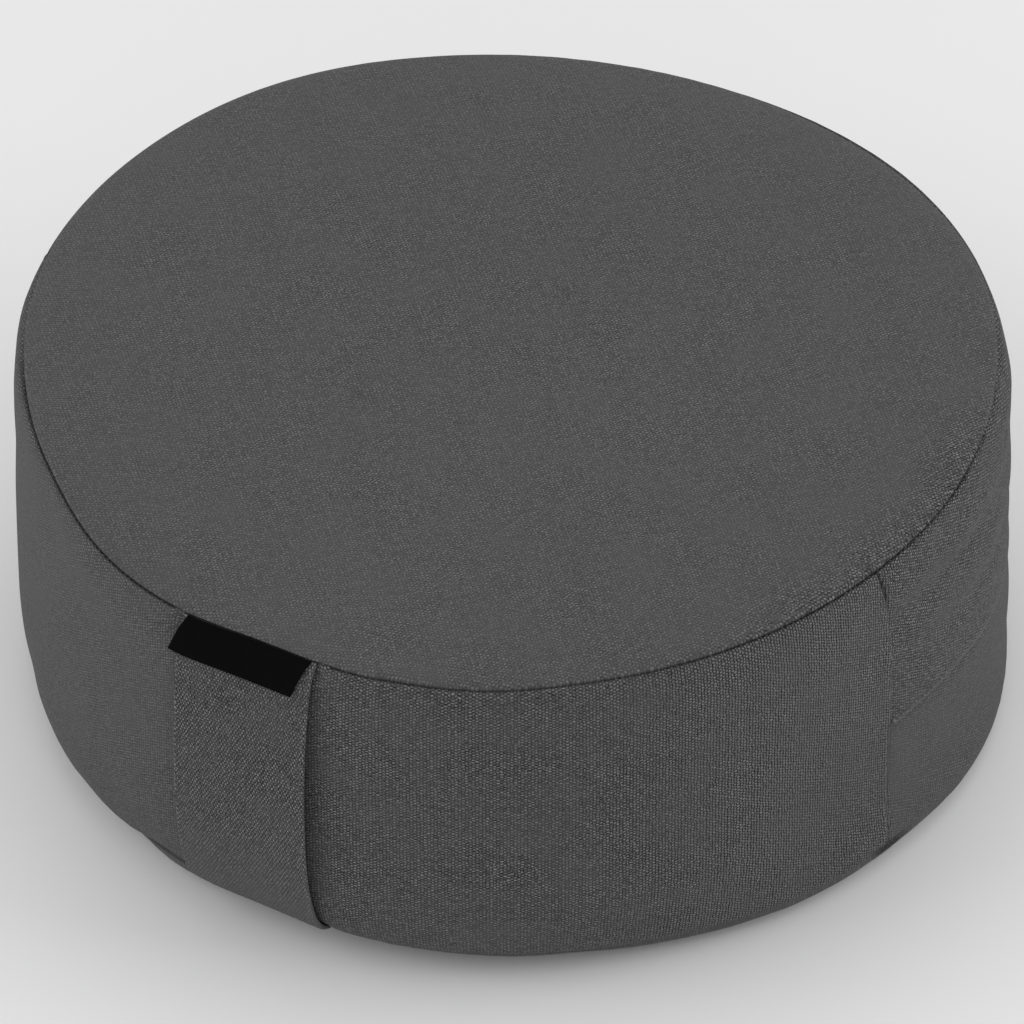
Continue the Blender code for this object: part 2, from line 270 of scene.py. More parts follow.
# The two upright joins: a faint channel, a crease that the rim seam gathers at its head, and
# the pull of the rim and the hem on its run
JOIN_HALF_WIDTH = 0.0008
JOIN_CHANGE = 0.5
JOIN_CHANNEL = 0.0003
JOIN_CREASE = 0.0018
JOIN_CREASE_DEPTH = 0.034
LEFT_CREASE = 0.25
JOIN_RIM_FADE = 0.004
JOIN_RIM_PULL = 2.4
JOIN_RIM_FROM = 0.090
JOIN_HEM_PULL = 1.0
JOIN_HEM_FROM = 0.070
JOIN_PULL_REACH = 12.0

# The strap: how it presses the drum in, seats its ends in the seams and bows off the band
PRESSED = Place("strap", 2.5, 14.0, 0.0030)
SEAT = 0.0018
SEAT_AT_HEM = 0.4
SEAT_HALF_ANGLE = 9.1
SEAT_EDGE = 1.1
SEAT_DEPTH = 0.012
STRAP_FLAT = 0.85
STRAP_TOP_DROP = 0.0007
STRAP_FOOT_LIFT = 0.0009
STRAP_EVEN_ROWS = 0.45
STRAP_END_REACH = 0.005
STRAP_END_THIN = 0.55
STRAP_FOOT_SHARE = 0.5
STRAP_ROLL = 0.00022
STRAP_ROLL_FADE = 0.0011
STRAP_EDGE_IN = 0.0012
TAG_EDGE = 0.4
TAG_END_THIN = 0.4
TAG_END_CLOSE = 0.9
TAG_HALF_ANGLE = 8.4
CLEARANCE = 0.0004

# Seams, how much of the draw they take at least and how much more where they carry painted shade,
# their gathers, and the unevenness of the cloth
SEAM_REACH = 0.0010
SEAM_AT_STRAP = 0.8
RIM_DRAW = (0.45, 0.55)
HEM_DRAW = (0.30, 0.70)
PUCKER = 0.00006
PUCKER_REACH = 0.009
PUCKER_START = 0.002
PUCKERS = 14
PUCKER_LOBES = (50, 130)
PUCKER_SUM = 2.2
OFF_FLOOR = 0.002
UNEVEN = 0.0003
UNEVEN_SCALE = 0.11
NOISE_WAVES = 9
NOISE_LOBES = (2, 9)
SEED = 7

# Lines along seams and edges: where each runs beside them, its half width, and how strong it is,
# as painted shade, which is negative for a painted highlight on an edge, or as a height
Line = namedtuple("Line", "at width amount")
SEAM_LINE = 0.00045
RIM_HIGHLIGHT = Line(0.0, 1.6 * SEAM_LINE, -0.30)
JOIN_EDGE = Line(-0.0014, 0.0009, 0.0005)
JOIN_HIGHLIGHT = Line(-0.0009, 0.00045, -0.60)
LIP_HIGHLIGHT = Line(0.0007, 0.0010, -0.36)
LIP_UNDER_SHADE = Line(-0.0010, 0.0007, 0.50)
STRAP_EDGE_HIGHLIGHT = Line(-0.0005, 0.0009, -0.30)

# The shadow on the shoulder that shows over the rim from the far side
FAR_DARK = Place("back", 168.0, 50.0, 1.0)
FAR_LINE = Line(0.0, 0.004, 0.6)

# Where the rim seam gets a line of painted shade and not a painted highlight, and how strong the
# painted shade of the other seams is: a pair is the least of it, and how much more there is where
# the seam shows
RIM_DARK_AT = 22.0
RIM_DARK_REACH = 82.0
RIM_DARK_EDGE = 12.0
RIM_LESS_DARK = (Place("front", 34.0, 40.0, 0.35), Place("right", 92.0, 16.0, 0.25))
UNDER_TAG = 0.2
TAG_CLEAR = 0.4
HEM_SHOWN_GAIN = 1.6
HEM_SHADE = 0.0018
HEM_SHADE_STRENGTH = (0.05, 0.90)
HEM_LINE = 1.4 * SEAM_LINE
JOIN_CREASE_SHADE = (0.04, 0.96)
JOIN_CREASE_SHADE_WIDTH = 0.0005
# The strap's lower half is painted a little lighter, more towards its foot
STRAP_LOW_SHADE = -0.07
STRAP_LOW_RISE = 2.2

# How crisply the weave shows: even steps round the front band, places with more of it, and
# where thick threads stand out from the checks
Step = namedtuple("Step", "start width rise")
FRONT_CRISP = 0.75
FRONT_STEPS = (Step(-14.0, 20.0, 0.45), Step(40.0, 25.0, 0.25))
REAR_CRISP = Place("right", 95.0, 60.0, 0.45)
UNDER_LIP_DULL = 0.52
LIP_DULL = 0.8
LIP_DULL_WIDTH = 0.0022
DISC_DULL = 0.18
DISC_DULL_RADIUS = 0.18
DISC_CRISP = Place("right rim", 88.0, 50.0, 0.9)
DISC_CRISP_DEPTH = 0.024
BASE_CRISP = 0.3
STRAP_CRISP = 1.05
STRAP_LOW_DULL = 0.55
UPRIGHT = Place("front band's right end", 66.0, 34.0, 1.0)

# The settling of the cloth
SETTLE_FRAMES = 20
SETTLE_STEP = 0.007
SETTLE_COLUMNS = 4
SETTLE_SHARE = 0.30
SETTLE_CAP = 0.0009
SETTLE_FADE = 0.006
SETTLE_ROUGH = 0.0004
SETTLE_ROUGH_SCALE = 0.09
SETTLE_JOIN = 0.8
SETTLE_FLOOR = 0.0005
SETTLE_CALM = Place("strap", 0.0, 17.0, 1.0)
SETTLE_CLOTH = {
    "quality": 6,
    "mass": 0.3,
    "tension_stiffness": 15.0,
    "compression_stiffness": 15.0,
    "shear_stiffness": 5.0,
    "bending_stiffness": 0.5,
    "use_pressure": True,
    "uniform_pressure_force": 4.0,
    "shrink_min": -0.04,
}

# Grid steps
DRUM_COLUMNS = 440
GATHER = 0.86
GATHER_REACH = 2.6
TOP_ROWS = 60
TOP_EASE = 1.7
RIM_ROWS = 7
RIM_ROWS_DEPTH = 0.0048
SHOULDER_ROWS = 22
SHOULDER_FOOT = 0.116
LAP_ROWS = 30
LOW_ROWS = 7
FOOT_ROWS = 26
BASE_ROWS = 16
FLAT_ROWS = 8
STRAP_ROWS = 180
STRAP_FACE_STEPS = 26
STRAP_EDGE_STEPS = 6
STRAP_NORMAL_STEPS = (0.004, 0.001)
TAG_ROWS = 30
TAG_FACE_STEPS = 44
TAG_FINE_ROWS = 400

# Cloth coordinates of the drum's panels, kept apart so that the threads of no two panels meet
BAND_AROUND = 0.19
BAND_SHIFT = 1.0
BASE_SHIFT = 3.0
BASE_TURN = 0.6


# ---------------------------------------------------------------- helpers on arrays


def clamp(value):
    """The value, kept between 0 and 1."""
    return np.clip(value, 0.0, 1.0)


def past(value, start, end):
    """0 before the start, then growing evenly to 1 at the end and on beyond it."""
    return np.maximum((value - start) / (end - start), 0.0)


def wave(azimuth, lobes, crest):
    """A cosine round the drum with this many lobes, one crest at the crest's azimuth."""
    return np.cos(lobes * np.radians(azimuth - crest))


def turn_between(azimuth, other):
    """The signed angle from one azimuth to another, the short way round."""
    return (azimuth - other + 180.0) % 360.0 - 180.0


def from_strap(azimuth):
    """Degrees from the strap's middle, to either side."""
    return np.abs(turn_between(azimuth, 0.0))


def window(distance, reach):
    """cos squared: 1 at no distance, falling smoothly to 0 at the reach."""
    return np.cos(clamp(np.abs(distance) / reach) * np.pi / 2.0) ** 2


def near(azimuth, place):
    """The window round a place's azimuth."""
    return window(turn_between(azimuth, place.azimuth), place.reach)


def local(azimuth, place):
    """A place's amount times its window."""
    return place.amount * near(azimuth, place)


def summed(places, azimuth, field="amount"):
    """The sum over places of an amount times its window."""
    return sum(getattr(place, field) * near(azimuth, place) for place in places)


def within(azimuth, half_angle, edge):
    """1 up to a half angle from the strap's middle, falling smoothly to 0 over its edge."""
    return window(np.maximum(from_strap(azimuth) - half_angle, 0.0), edge)


def ridge(distance, half_width):
    """A Gaussian across a line: 1 on it, near 0 at two half widths."""
    return np.exp(-((distance / half_width) ** 2))


def along_line(distance, line):
    """A line's amount times its ridge."""
    return line.amount * ridge(distance - line.at, line.width)


def quarter_round(share):
    """From 0 to 1 along a quarter circle that starts upright and ends level."""
    return np.sqrt(1.0 - (1.0 - clamp(share)) ** 2)


def superellipse(turn, power):
    """Across and down a quarter superellipse: cosine and sine, to the power 2 / power."""
    quarter = turn * np.pi / 2.0
    return np.cos(quarter) ** (2.0 / power), np.sin(quarter) ** (2.0 / power)


def wrap(grid):
    """A grid with its first column again at its end."""
    return np.concatenate([grid, grid[:, :1]], axis=1)


def quads(grid):
    """The values at the four corners of each cell of a grid, one cell a row."""
    corners = (grid[:-1, :-1], grid[1:, :-1], grid[1:, 1:], grid[:-1, 1:])
    return np.stack(corners, axis=2).reshape(-1, 4, *grid.shape[2:])


def path_length(points):
    """Running distance down each column of a grid of points, 0 at its first row."""
    steps = np.linalg.norm(np.diff(points, axis=0), axis=2)
    return np.concatenate([np.zeros((1, points.shape[1])), np.cumsum(steps, axis=0)])


def around(radius, azimuth, height):
    """Points from a radius, an azimuth in degrees and a height: (r sin a, -r cos a, z)."""
    turn = np.radians(azimuth)
    return np.stack([radius * np.sin(turn), -radius * np.cos(turn), height], axis=-1)


def outward(points):
    """Unit normals of a wrapped grid: the cross product of its steps down and along."""
    joined = np.concatenate([points[:, -1:], points, points[:, :1]], axis=1)
    along = (joined[:, 2:] - joined[:, :-2]) / 2.0
    normal = np.cross(np.gradient(points, axis=0), along)
    return normal / np.maximum(np.linalg.norm(normal, axis=2, keepdims=True), 1e-12)


def lifted(points, lift):
    """A wrapped grid, moved out along its normals."""
    return points + outward(points) * lift[..., None]


def soft_noise(azimuth, height, scale, seed):
    """Smooth unevenness of about -1 to 1: a sum of cosines round and up the drum."""
    rng = np.random.default_rng(seed)
    noise = np.zeros(np.broadcast(azimuth, height).shape)
    for _ in range(NOISE_WAVES):
        lobes = rng.integers(*NOISE_LOBES)
        rise = rng.uniform(-1.0, 1.0) * 2.0 * np.pi / scale
        phase = rng.uniform(0.0, 2.0 * np.pi)
        noise += np.cos(lobes * np.radians(azimuth) + rise * height + phase)
    return noise / (NOISE_WAVES / 2.0)


# ---------------------------------------------------------------- the drum's form


def rim_radius(sizes, azimuth):
    """The radius of the rim seam: its mean plus three soft lobes."""
    return sizes.rim_radius + sizes.rim_wander * wave(azimuth, 3, RIM_WANDER_AT)


def bulged(sizes, azimuth, height):
    """How far the rim, and the band just below it, stands out beside the strap."""
    below = sizes.rim_height - height
    bulge = summed(RIM_BULGES, azimuth) * window(below, BULGE_DEPTH)
    return bulge + local(azimuth, RIM_ROLL) * window(below, ROLL_DEPTH)


def shoulders(sizes, azimuth, height):
    """The full shoulders: a small quarter-round just under the rim, fading down the band."""
    below = sizes.rim_height - height
    rounded = summed(SHOULDERS, azimuth) * quarter_round(below / SHOULDER_ROUND)
    return rounded * window(below, SHOULDER_DEPTH)


def swells(azimuth, height):
    """The sum of the slow swells: a window round the drum times a window up it."""
    return sum(
        swell.out * near(azimuth, swell) * window(height - swell.height, swell.spread)
        for swell in SWELLS
    )


def pressed(azimuth):
    """How far the strap presses the drum in."""
    return local(azimuth, PRESSED)


def strap_share(azimuth):
    """1 under the strap, falling smoothly to 0 just beside it."""
    return within(azimuth, SEAT_HALF_ANGLE, SEAT_EDGE)


def seat(sizes, azimuth, height):
    """The band gives way under the strap's two ends, where they go into the seams."""
    near_rim = window(sizes.rim_height - height, SEAT_DEPTH)
    near_hem = window(height - hem_height(sizes, azimuth), SEAT_DEPTH)
    return SEAT * strap_share(azimuth) * (near_rim + SEAT_AT_HEM * near_hem)


def hem_height(sizes, azimuth):
    """The height of the hem seam: its mean, its lifts, and where it shows, clear of the strap."""
    shows = summed(HEM_SHOWS, azimuth, "rise")
    shows = shows * (1.0 - within(azimuth, HEM_FREE_FROM, HEM_FREE_EDGE))
    return sizes.hem_height + summed(HEM_LIFTS, azimuth) + shows


def tuck(sizes, azimuth):
    """How far the band is drawn in at the hem: a mean, a one-sided and a two-sided part."""
    drawn = TUCK_MEAN + TUCK_ONE_SIDE * wave(azimuth, 1, TUCK_ONE_SIDE_AT)
    drawn = drawn + TUCK_TWO_SIDES * wave(azimuth, 2, TUCK_TWO_SIDES_AT)
    drawn = drawn - summed(HEM_SHOWS, azimuth, "loose")
    return np.maximum(LEAST_TUCK, drawn - (hem_height(sizes, azimuth) - sizes.hem_height))


def slump(sizes, azimuth, height):
    """The sunken filling leans the lower band out, as the cube of the way down the foot."""
    return local(azimuth, SLUMP) * past(height, sizes.foot_top, sizes.hem_height) ** 3


def join_azimuth(sizes, height):
    """Where a join runs: upright at mid height, veering to the front as a square at both ends."""
    to_rim = past(height, JOIN_RIM_FROM, sizes.rim_height)
    to_hem = past(height, JOIN_HEM_FROM, sizes.hem_height)
    return sizes.join_at - JOIN_RIM_PULL * to_rim**2 - JOIN_HEM_PULL * to_hem**2


def past_join(sizes, azimuth):
    """Degrees from the nearer join towards the back, negative on the front band."""
    return from_strap(azimuth) - sizes.join_at


def rear_share(sizes, azimuth):
    """1 on the rear band and 0 on the front band, changing within the join's channel."""
    return clamp(past_join(sizes, azimuth) / JOIN_CHANGE + 0.5)


def lip_height(sizes, azimuth):
    """The height of the lap's lower edge, which sinks a little from the joins to the back."""
    sunk = 1.0 - window(np.maximum(past_join(sizes, azimuth), 0.0), LIP_SINK_REACH)
    return sizes.lip_height - LIP_SINK * sunk


def fold_relief(azimuth, height):
    """The sum of the soft folds: each a ridge that fades as a sine along its run."""
    relief = np.zeros(np.broadcast(azimuth, height).shape)
    for fold in FOLDS:
        along = (azimuth % 360.0 - fold.start) / (fold.end - fold.start)
        fade = np.sin(np.pi * clamp(along) ** FOLD_EASE)
        line = fold.height + fold.drift * along
        relief = relief + fold.rise * fade * ridge(height - line, fold.half_width)
    return relief


def lap_relief(sizes, azimuth, height):
    """The lap stands out above its lip, with a shallow trough just under it."""
    above = height - lip_height(sizes, azimuth)
    over = LAP_RISE * window(above, 2.0 * LAP_DEPTH)
    under = -UNDER_LIP * window(above, UNDER_LIP_DEPTH)
    return rear_share(sizes, azimuth) * np.where(above >= 0.0, over, under)


def band_radius(sizes, azimuth, height, lap=True):
    """Rim radius plus a quarter-round shoulder, less the strap's press, plus slump and folds."""
    rounded = quarter_round((sizes.rim_height - height) / sizes.shoulder)
    radius = rim_radius(sizes, azimuth) + sizes.belly * rounded - pressed(azimuth)
    radius = radius + bulged(sizes, azimuth, height) + slump(sizes, azimuth, height)
    radius = radius + swells(azimuth, height) + shoulders(sizes, azimuth, height)
    relief = fold_relief(azimuth, height)
    if lap:
        relief = relief + lap_relief(sizes, azimuth, height)
    uneven = UNEVEN * soft_noise(azimuth, height, UNEVEN_SCALE, SEED)
    return radius + (relief + uneven) * rounded - seat(sizes, azimuth, height)


def foot_section(sizes, azimuth, turn):
    """A quarter superellipse from the foot's top, turn 0, in to the hem, turn 1."""
    across, down = superellipse(turn, FOOT_POWER)
    height = sizes.foot_top - (sizes.foot_top - hem_height(sizes, azimuth)) * down
    radius = band_radius(sizes, azimuth, height) - tuck(sizes, azimuth) * (1.0 - across)
    return radius, height


def drum_radius(sizes, azimuth, height):
    """The band above the foot's top, and the same superellipse below it."""
    down = clamp(past(height, sizes.foot_top, hem_height(sizes, azimuth)))
    across = (1.0 - down**FOOT_POWER) ** (1.0 / FOOT_POWER)
    return band_radius(sizes, azimuth, height) - tuck(sizes, azimuth) * (1.0 - across)


def drum_columns(sizes):
    """Even azimuths, gathered at the two joins by a Gaussian squeeze."""
    azimuth = np.arange(DRUM_COLUMNS + 1) * 360.0 / DRUM_COLUMNS
    for join in (sizes.join_at, -sizes.join_at):
        away = turn_between(azimuth, join)
        azimuth = azimuth - away * GATHER * ridge(away, GATHER_REACH)
    return azimuth


def pulled_columns(sizes, azimuth, height):
    """The columns beside a join, moved over with it where the rim or the hem pulls it."""
    side = turn_between(azimuth, 0.0)
    beside = window(past_join(sizes, azimuth), JOIN_PULL_REACH)
    return azimuth + np.sign(side) * beside * (join_azimuth(sizes, height) - sizes.join_at)


def band_heights(sizes):
    """Nominal rows of the band: close under the rim, even down to the lap, even below it."""
    lap, low = sizes.lip_height + LIP_EVEN[0, 0], sizes.lip_height + LIP_EVEN[-1, 0]
    close = sizes.rim_height - RIM_ROWS_DEPTH * (np.arange(1, RIM_ROWS + 1) / RIM_ROWS) ** TOP_EASE
    shoulder = np.linspace(close[-1], SHOULDER_FOOT, SHOULDER_ROWS)[1:]
    upper = np.linspace(SHOULDER_FOOT, lap, LAP_ROWS)[1:-1]
    lower = np.linspace(low, sizes.foot_top, LOW_ROWS)[1:-1]
    return np.concatenate([close, shoulder, upper])[:, None], lower[:, None]


def follow_lip(sizes, azimuth, height):
    """A row's height, moved down with the lip as that sinks round the back."""
    sink = sizes.lip_height - lip_height(sizes, azimuth)
    room = np.where(height < sizes.lip_height, sizes.lip_height - sizes.foot_top, LIP_FOLLOW)
    return height - sink * window(height - sizes.lip_height, room)


def band_rows(sizes, azimuth):
    """The band's rows as radius and height, with the lap's folded lip between them."""
    upper, lower = (follow_lip(sizes, azimuth, rows) for rows in band_heights(sizes))
    rear = rear_share(sizes, azimuth)
    lip = lip_height(sizes, azimuth) + rear * LIP_UP + (1.0 - rear) * LIP_EVEN
    parts = [
        band_radius(sizes, azimuth, upper),
        band_radius(sizes, azimuth, lip, lap=False) + rear * LIP_OUT,
        band_radius(sizes, azimuth, lower),
    ]
    return np.concatenate(parts), np.concatenate([upper, lip, lower])


def top_rows(sizes, azimuth):
    """The top disc: a low crown, height as (1 - share cubed) to the power 0.55."""
    share = 1.0 - (1.0 - np.arange(1, TOP_ROWS)[:, None] / TOP_ROWS) ** TOP_EASE
    moved = bulged(sizes, azimuth, sizes.rim_height) - pressed(azimuth)
    radius = share * (rim_radius(sizes, azimuth) + share**6 * moved)
    rise = sizes.crown * (1.0 - share**3) ** TOP_POWER
    swell = TOP_SWELL * wave(azimuth, 2, TOP_SWELL_AT) * np.sin(np.pi * share) ** 2
    return radius, sizes.rim_height + rise + swell


def base_rows(sizes, azimuth):
    """The base disc: down and in from the hem as a superellipse, then flat on the floor."""
    turn = np.arange(1, BASE_ROWS + 1)[:, None] / BASE_ROWS
    across, down = superellipse(turn, BASE_POWER)
    hem = foot_section(sizes, azimuth, np.ones((1, 1)))[0]
    bulge = summed(HEM_SHOWS, azimuth, "bulge") * (1.0 - strap_share(azimuth))
    radius = hem - BASE_RUN * (1.0 - across) + bulge * window(turn - BASE_BULGE_AT, BASE_BULGE_AT)
    height = (hem_height(sizes, azimuth) - BASE_DRAW) * (1.0 - down)
    flat = radius[-1:] * np.linspace(1.0, 0.0, FLAT_ROWS + 1)[1:-1, None]
    return np.concatenate([radius, flat]), np.concatenate([height, np.zeros(flat.shape)])


def drum_form(sizes):
    """The drum before its seams are drawn in: radius, azimuth and height of every grid point."""
    columns = drum_columns(sizes)[None, :]
    top_r, top_z = top_rows(sizes, columns)
    rim_r = rim_radius(sizes, columns) - pressed(columns)
    rim_r = rim_r + bulged(sizes, columns, sizes.rim_height)
    band_r, band_z = band_rows(sizes, columns)
    turn = np.arange(0, FOOT_ROWS + 1)[:, None] / FOOT_ROWS
    foot_r, foot_z = foot_section(sizes, columns, turn)
    base_r, base_z = base_rows(sizes, columns)
    rim_z = np.full(columns.shape, sizes.rim_height)
    above, below = band_heights(sizes)
    level = np.concatenate([above, sizes.lip_height + LIP_EVEN, below])
    levels = [
        np.full(top_z.shape, sizes.rim_height),
        rim_z,
        np.broadcast_to(level, band_z.shape),
        foot_z,
        np.full(base_z.shape, sizes.hem_height),
    ]
    radius = np.concatenate([top_r, rim_r, band_r, foot_r, base_r])
    height = np.concatenate([top_z, rim_z, band_z, foot_z, base_z])
    rim_row = len(top_r)
    hem_row = rim_row + len(band_r) + len(foot_r)
    return radius, pulled_columns(sizes, columns, np.concatenate(levels)), height, rim_row, hem_row


# ---------------------------------------------------------------- seams, shade and weave


def draw_in(points, seam_row, depth):
    """Pulls a grid in along its normals beside a seam row: depth times exp(-distance / reach)."""
    run = path_length(points)
    return lifted(points, -depth * np.exp(-np.abs(run - run[seam_row]) / SEAM_REACH))


def puckers(azimuth, distance, seed):
    """Small gathers at a seam: waves along it of 9 to 24 mm that fade away from it."""
    rng = np.random.default_rng(seed)
    ripple = np.zeros(np.broadcast(azimuth, distance).shape)
    for _ in range(PUCKERS):
        lobes = rng.integers(*PUCKER_LOBES)
        ripple += rng.uniform(0.4, 1.0) * np.cos(
            lobes * np.radians(azimuth) + rng.uniform(0.0, 2.0 * np.pi)
        )
    strength = 0.6 + 0.4 * np.cos(3.0 * np.radians(azimuth) + rng.uniform(0.0, 6.0))
    fade = np.exp(-distance / PUCKER_REACH) * clamp(distance / PUCKER_START)
    return PUCKER * ripple / PUCKER_SUM * strength * fade


def beside_join(sizes, azimuth, radius, height):
    """Distance along the cloth from the nearer join, negative on the front band."""
    return np.radians(from_strap(azimuth) - join_azimuth(sizes, height)) * radius


def join_crease(sizes, height):
    """1 where the rim seam gathers the join into a crease, falling to 0 below it."""
    return window(sizes.rim_height - height, JOIN_CREASE_DEPTH)


def join_relief(sizes, beside, height, azimuth):
    """Each join: a faint channel with the front band's turned edge proud, and a crease on top.

    The crease is shallow on the left join, and both end smoothly at the rim."""
    right = turn_between(azimuth, 0.0) > 0.0
    crease = np.where(right, 1.0, LEFT_CREASE) * join_crease(sizes, height)
    fade = clamp((sizes.rim_height - height) / JOIN_RIM_FADE)
    depth = (JOIN_CHANNEL + JOIN_CREASE * crease) * fade
    channel = -depth * np.exp(-np.abs(beside) / JOIN_HALF_WIDTH)
    return channel + fade * along_line(beside, JOIN_EDGE)


def rim_dark(azimuth):
    """1 where the rim seam gets a line of painted shade and is drawn in deeper, less in places,
    and 0 where it gets a painted highlight instead.
    """
    beside = np.abs(turn_between(azimuth, RIM_DARK_AT))
    dark = clamp((RIM_DARK_REACH - beside) / RIM_DARK_EDGE + 0.5)
    return dark * (1.0 - summed(RIM_LESS_DARK, azimuth))


def hem_shown(azimuth):
    """1 where the hem shows, drawn in deeper and with a line of painted shade, and 0 where the
    cloth rounds under it.
    """
    return clamp(HEM_SHOWN_GAIN * sum(near(azimuth, show) for show in HEM_SHOWS))


def rim_shade(azimuth, from_rim):
    """The rim seam: a dark line of painted shade in its groove, clear of the tag, or a wider
    painted highlight on its rolled edge.
    """
    dark = rim_dark(azimuth)
    beside_tag = from_strap(azimuth) - TAG_HALF_ANGLE
    clear = np.clip(beside_tag / TAG_CLEAR + 0.5, UNDER_TAG, 1.0)
    shade = dark * clear * ridge(from_rim, SEAM_LINE)
    return shade + (1.0 - dark) * along_line(from_rim, RIM_HIGHLIGHT)


def hem_shade(azimuth, past_hem, free):
    """The hem seam: painted shade in the crevice under the band's edge, hardly a line, but dark
    and wide, and just past the seam, where it shows.
    """
    shown = hem_shown(azimuth)
    line = ridge(past_hem - HEM_SHADE * shown, HEM_LINE + 0.5 * HEM_SHADE * shown)
    return (HEM_SHADE_STRENGTH[0] + HEM_SHADE_STRENGTH[1] * shown) * free * line


def join_shade(sizes, beside, height):
    """Painted shade in the crease, and a painted highlight down the front band's turned cloth."""
    crease = join_crease(sizes, height)
    dark = (JOIN_CREASE_SHADE[0] + JOIN_CREASE_SHADE[1] * crease) * ridge(beside, JOIN_CREASE_SHADE_WIDTH)
    return dark + (1.0 - crease) * along_line(beside, JOIN_HIGHLIGHT)


def lip_shade(sizes, azimuth, height):
    """A painted highlight on the zip lap's lip and painted shade just under it."""
    above = height - lip_height(sizes, azimuth)
    lines = along_line(above, LIP_HIGHLIGHT) + along_line(above, LIP_UNDER_SHADE)
    return rear_share(sizes, azimuth) * lines


def band_crisp(sizes, azimuth, height):
    """How crisply the band's weave shows in its tone: most at the front, least at the zip lap's
    lip and under it.

    The front band changes in even steps, and the rear band at the lip and all below it."""
    side = turn_between(azimuth, 0.0)
    steps = sum(step.rise * clamp((side - step.start) / step.width) for step in FRONT_STEPS)
    below = lip_height(sizes, azimuth) - height
    rear = 1.0 + local(azimuth, REAR_CRISP)
    rear = rear * (1.0 - UNDER_LIP_DULL * clamp(below / UNDER_LIP_DEPTH))
    rear = rear * (1.0 - LIP_DULL * ridge(below, LIP_DULL_WIDTH))
    share = rear_share(sizes, azimuth)
    return share * rear + (1.0 - share) * (FRONT_CRISP + steps)


def disc_crisp(sizes, points, azimuth):
    """How crisply a disc's weave shows: less away from its middle, more near the right rim,
    and little on the base."""
    out = np.linalg.norm(points[..., :2], axis=-1)
    rim = window(sizes.rim_radius - out, DISC_CRISP_DEPTH) * local(azimuth, DISC_CRISP)
    crisp = 1.0 - DISC_DULL * clamp(out / DISC_DULL_RADIUS) ** 2 + rim
    return np.where(points[..., 2] < 0.5 * sizes.rim_height, BASE_CRISP, crisp)


Drum = namedtuple("Drum", "points columns rim_row hem_row run shade crisp upright")


def drum_grid(sizes):
    """The whole drum as one grid: rows from the top's middle to the base's middle."""
    radius, azimuth, height, rim_row, hem_row = drum_form(sizes)
    points = around(radius, azimuth, height)
    run = path_length(points)
    past_hem = run - run[hem_row]
    from_rim, from_hem = np.abs(run - run[rim_row]), np.abs(past_hem)
    rows = np.arange(len(radius))[:, None]
    on_band = (rows > rim_row) & (rows < hem_row)
    beside = beside_join(sizes, azimuth, radius, height)
    free = 1.0 - SEAM_AT_STRAP * strap_share(azimuth)

    settled = settle(sizes, points, rim_row, hem_row)
    settled = settled * (1.0 - on_band * local(azimuth, SETTLE_CALM))
    settled = settled * clamp(from_rim / SETTLE_FADE) * clamp(from_hem / SETTLE_FADE)
    points = lifted(points, settled)
    seams = ((rim_row, RIM_DRAW, rim_dark(azimuth)), (hem_row, HEM_DRAW, hem_shown(azimuth)))
    for row, (least, more), dark in seams:
        points = draw_in(points, row, sizes.seam_draw * free * (least + more * dark))
    lift = puckers(azimuth, from_rim, SEED + 1)
    lift = lift + (height > OFF_FLOOR) * puckers(azimuth, from_hem, SEED + 2)
    points = lifted(points, lift + on_band * join_relief(sizes, beside, height, azimuth))
    points[..., 2] = np.maximum(points[..., 2], 0.0)
    points[:, -1] = points[:, 0]

    # Painted shade at the seams, in the join's crease, under the lip and over the far shoulder,
    # and painted highlights, as negative shade, on rolled and turned edges
    band_shade = local(azimuth, FAR_DARK) * along_line(from_rim, FAR_LINE)
    band_shade = band_shade + join_shade(sizes, beside, height) + lip_shade(sizes, azimuth, height)
    shade = rim_shade(azimuth, from_rim) + hem_shade(azimuth, past_hem, free)
    shade = shade + on_band * band_shade
    crisp = disc_crisp(sizes, points, azimuth)
    crisp = np.where(on_band, band_crisp(sizes, azimuth, height), crisp)
    upright = on_band * local(azimuth, UPRIGHT) * (1.0 - rear_share(sizes, azimuth))
    return Drum(points, azimuth, rim_row, hem_row, run, shade, crisp, upright)


# ---------------------------------------------------------------- the settling of the cloth


def simulate(points, held):
    """Runs Blender's Cloth on a closed grid, held where told, and gives back its moved points."""
    scene = bpy.context.scene
    rows, wide = points.shape[:2]
    piece = new_object("settling", closed_points(points), *closed_faces(rows, wide - 1))
    sewn = piece.vertex_groups.new(name="sewn")
    sewn.add(np.flatnonzero(held[:, :-1]).tolist(), 1.0, "REPLACE")
    cloth = piece.modifiers.new("settle", "CLOTH")
    cloth.collision_settings.use_collision = False
    cloth.point_cache.frame_start = 1
    cloth.point_cache.frame_end = SETTLE_FRAMES
    cloth.settings.vertex_group_mass = sewn.name
    cloth.settings.effector_weights.gravity = 0.0
    for name, value in SETTLE_CLOTH.items():
        setattr(cloth.settings, name, value)
    for step in range(1, SETTLE_FRAMES + 1):
        scene.frame_set(step)
    settled = piece.evaluated_get(bpy.context.evaluated_depsgraph_get())
    moved = np.empty(3 * len(piece.data.vertices))
    settled.data.vertices.foreach_get("co", moved)
    mesh = piece.data
    bpy.data.objects.remove(piece)
    bpy.data.meshes.remove(mesh)
    scene.frame_set(1)
    return wrap(moved.reshape(-1, 3)[:-2].reshape(rows, wide - 1, 3))


def spread_weights(distance, step):
    """Weights that carry values from a coarse grid to a fine one: Gaussians that add up to 1."""
    weights = ridge(distance, 0.9 * step)
    return weights / weights.sum(axis=1, keepdims=True)


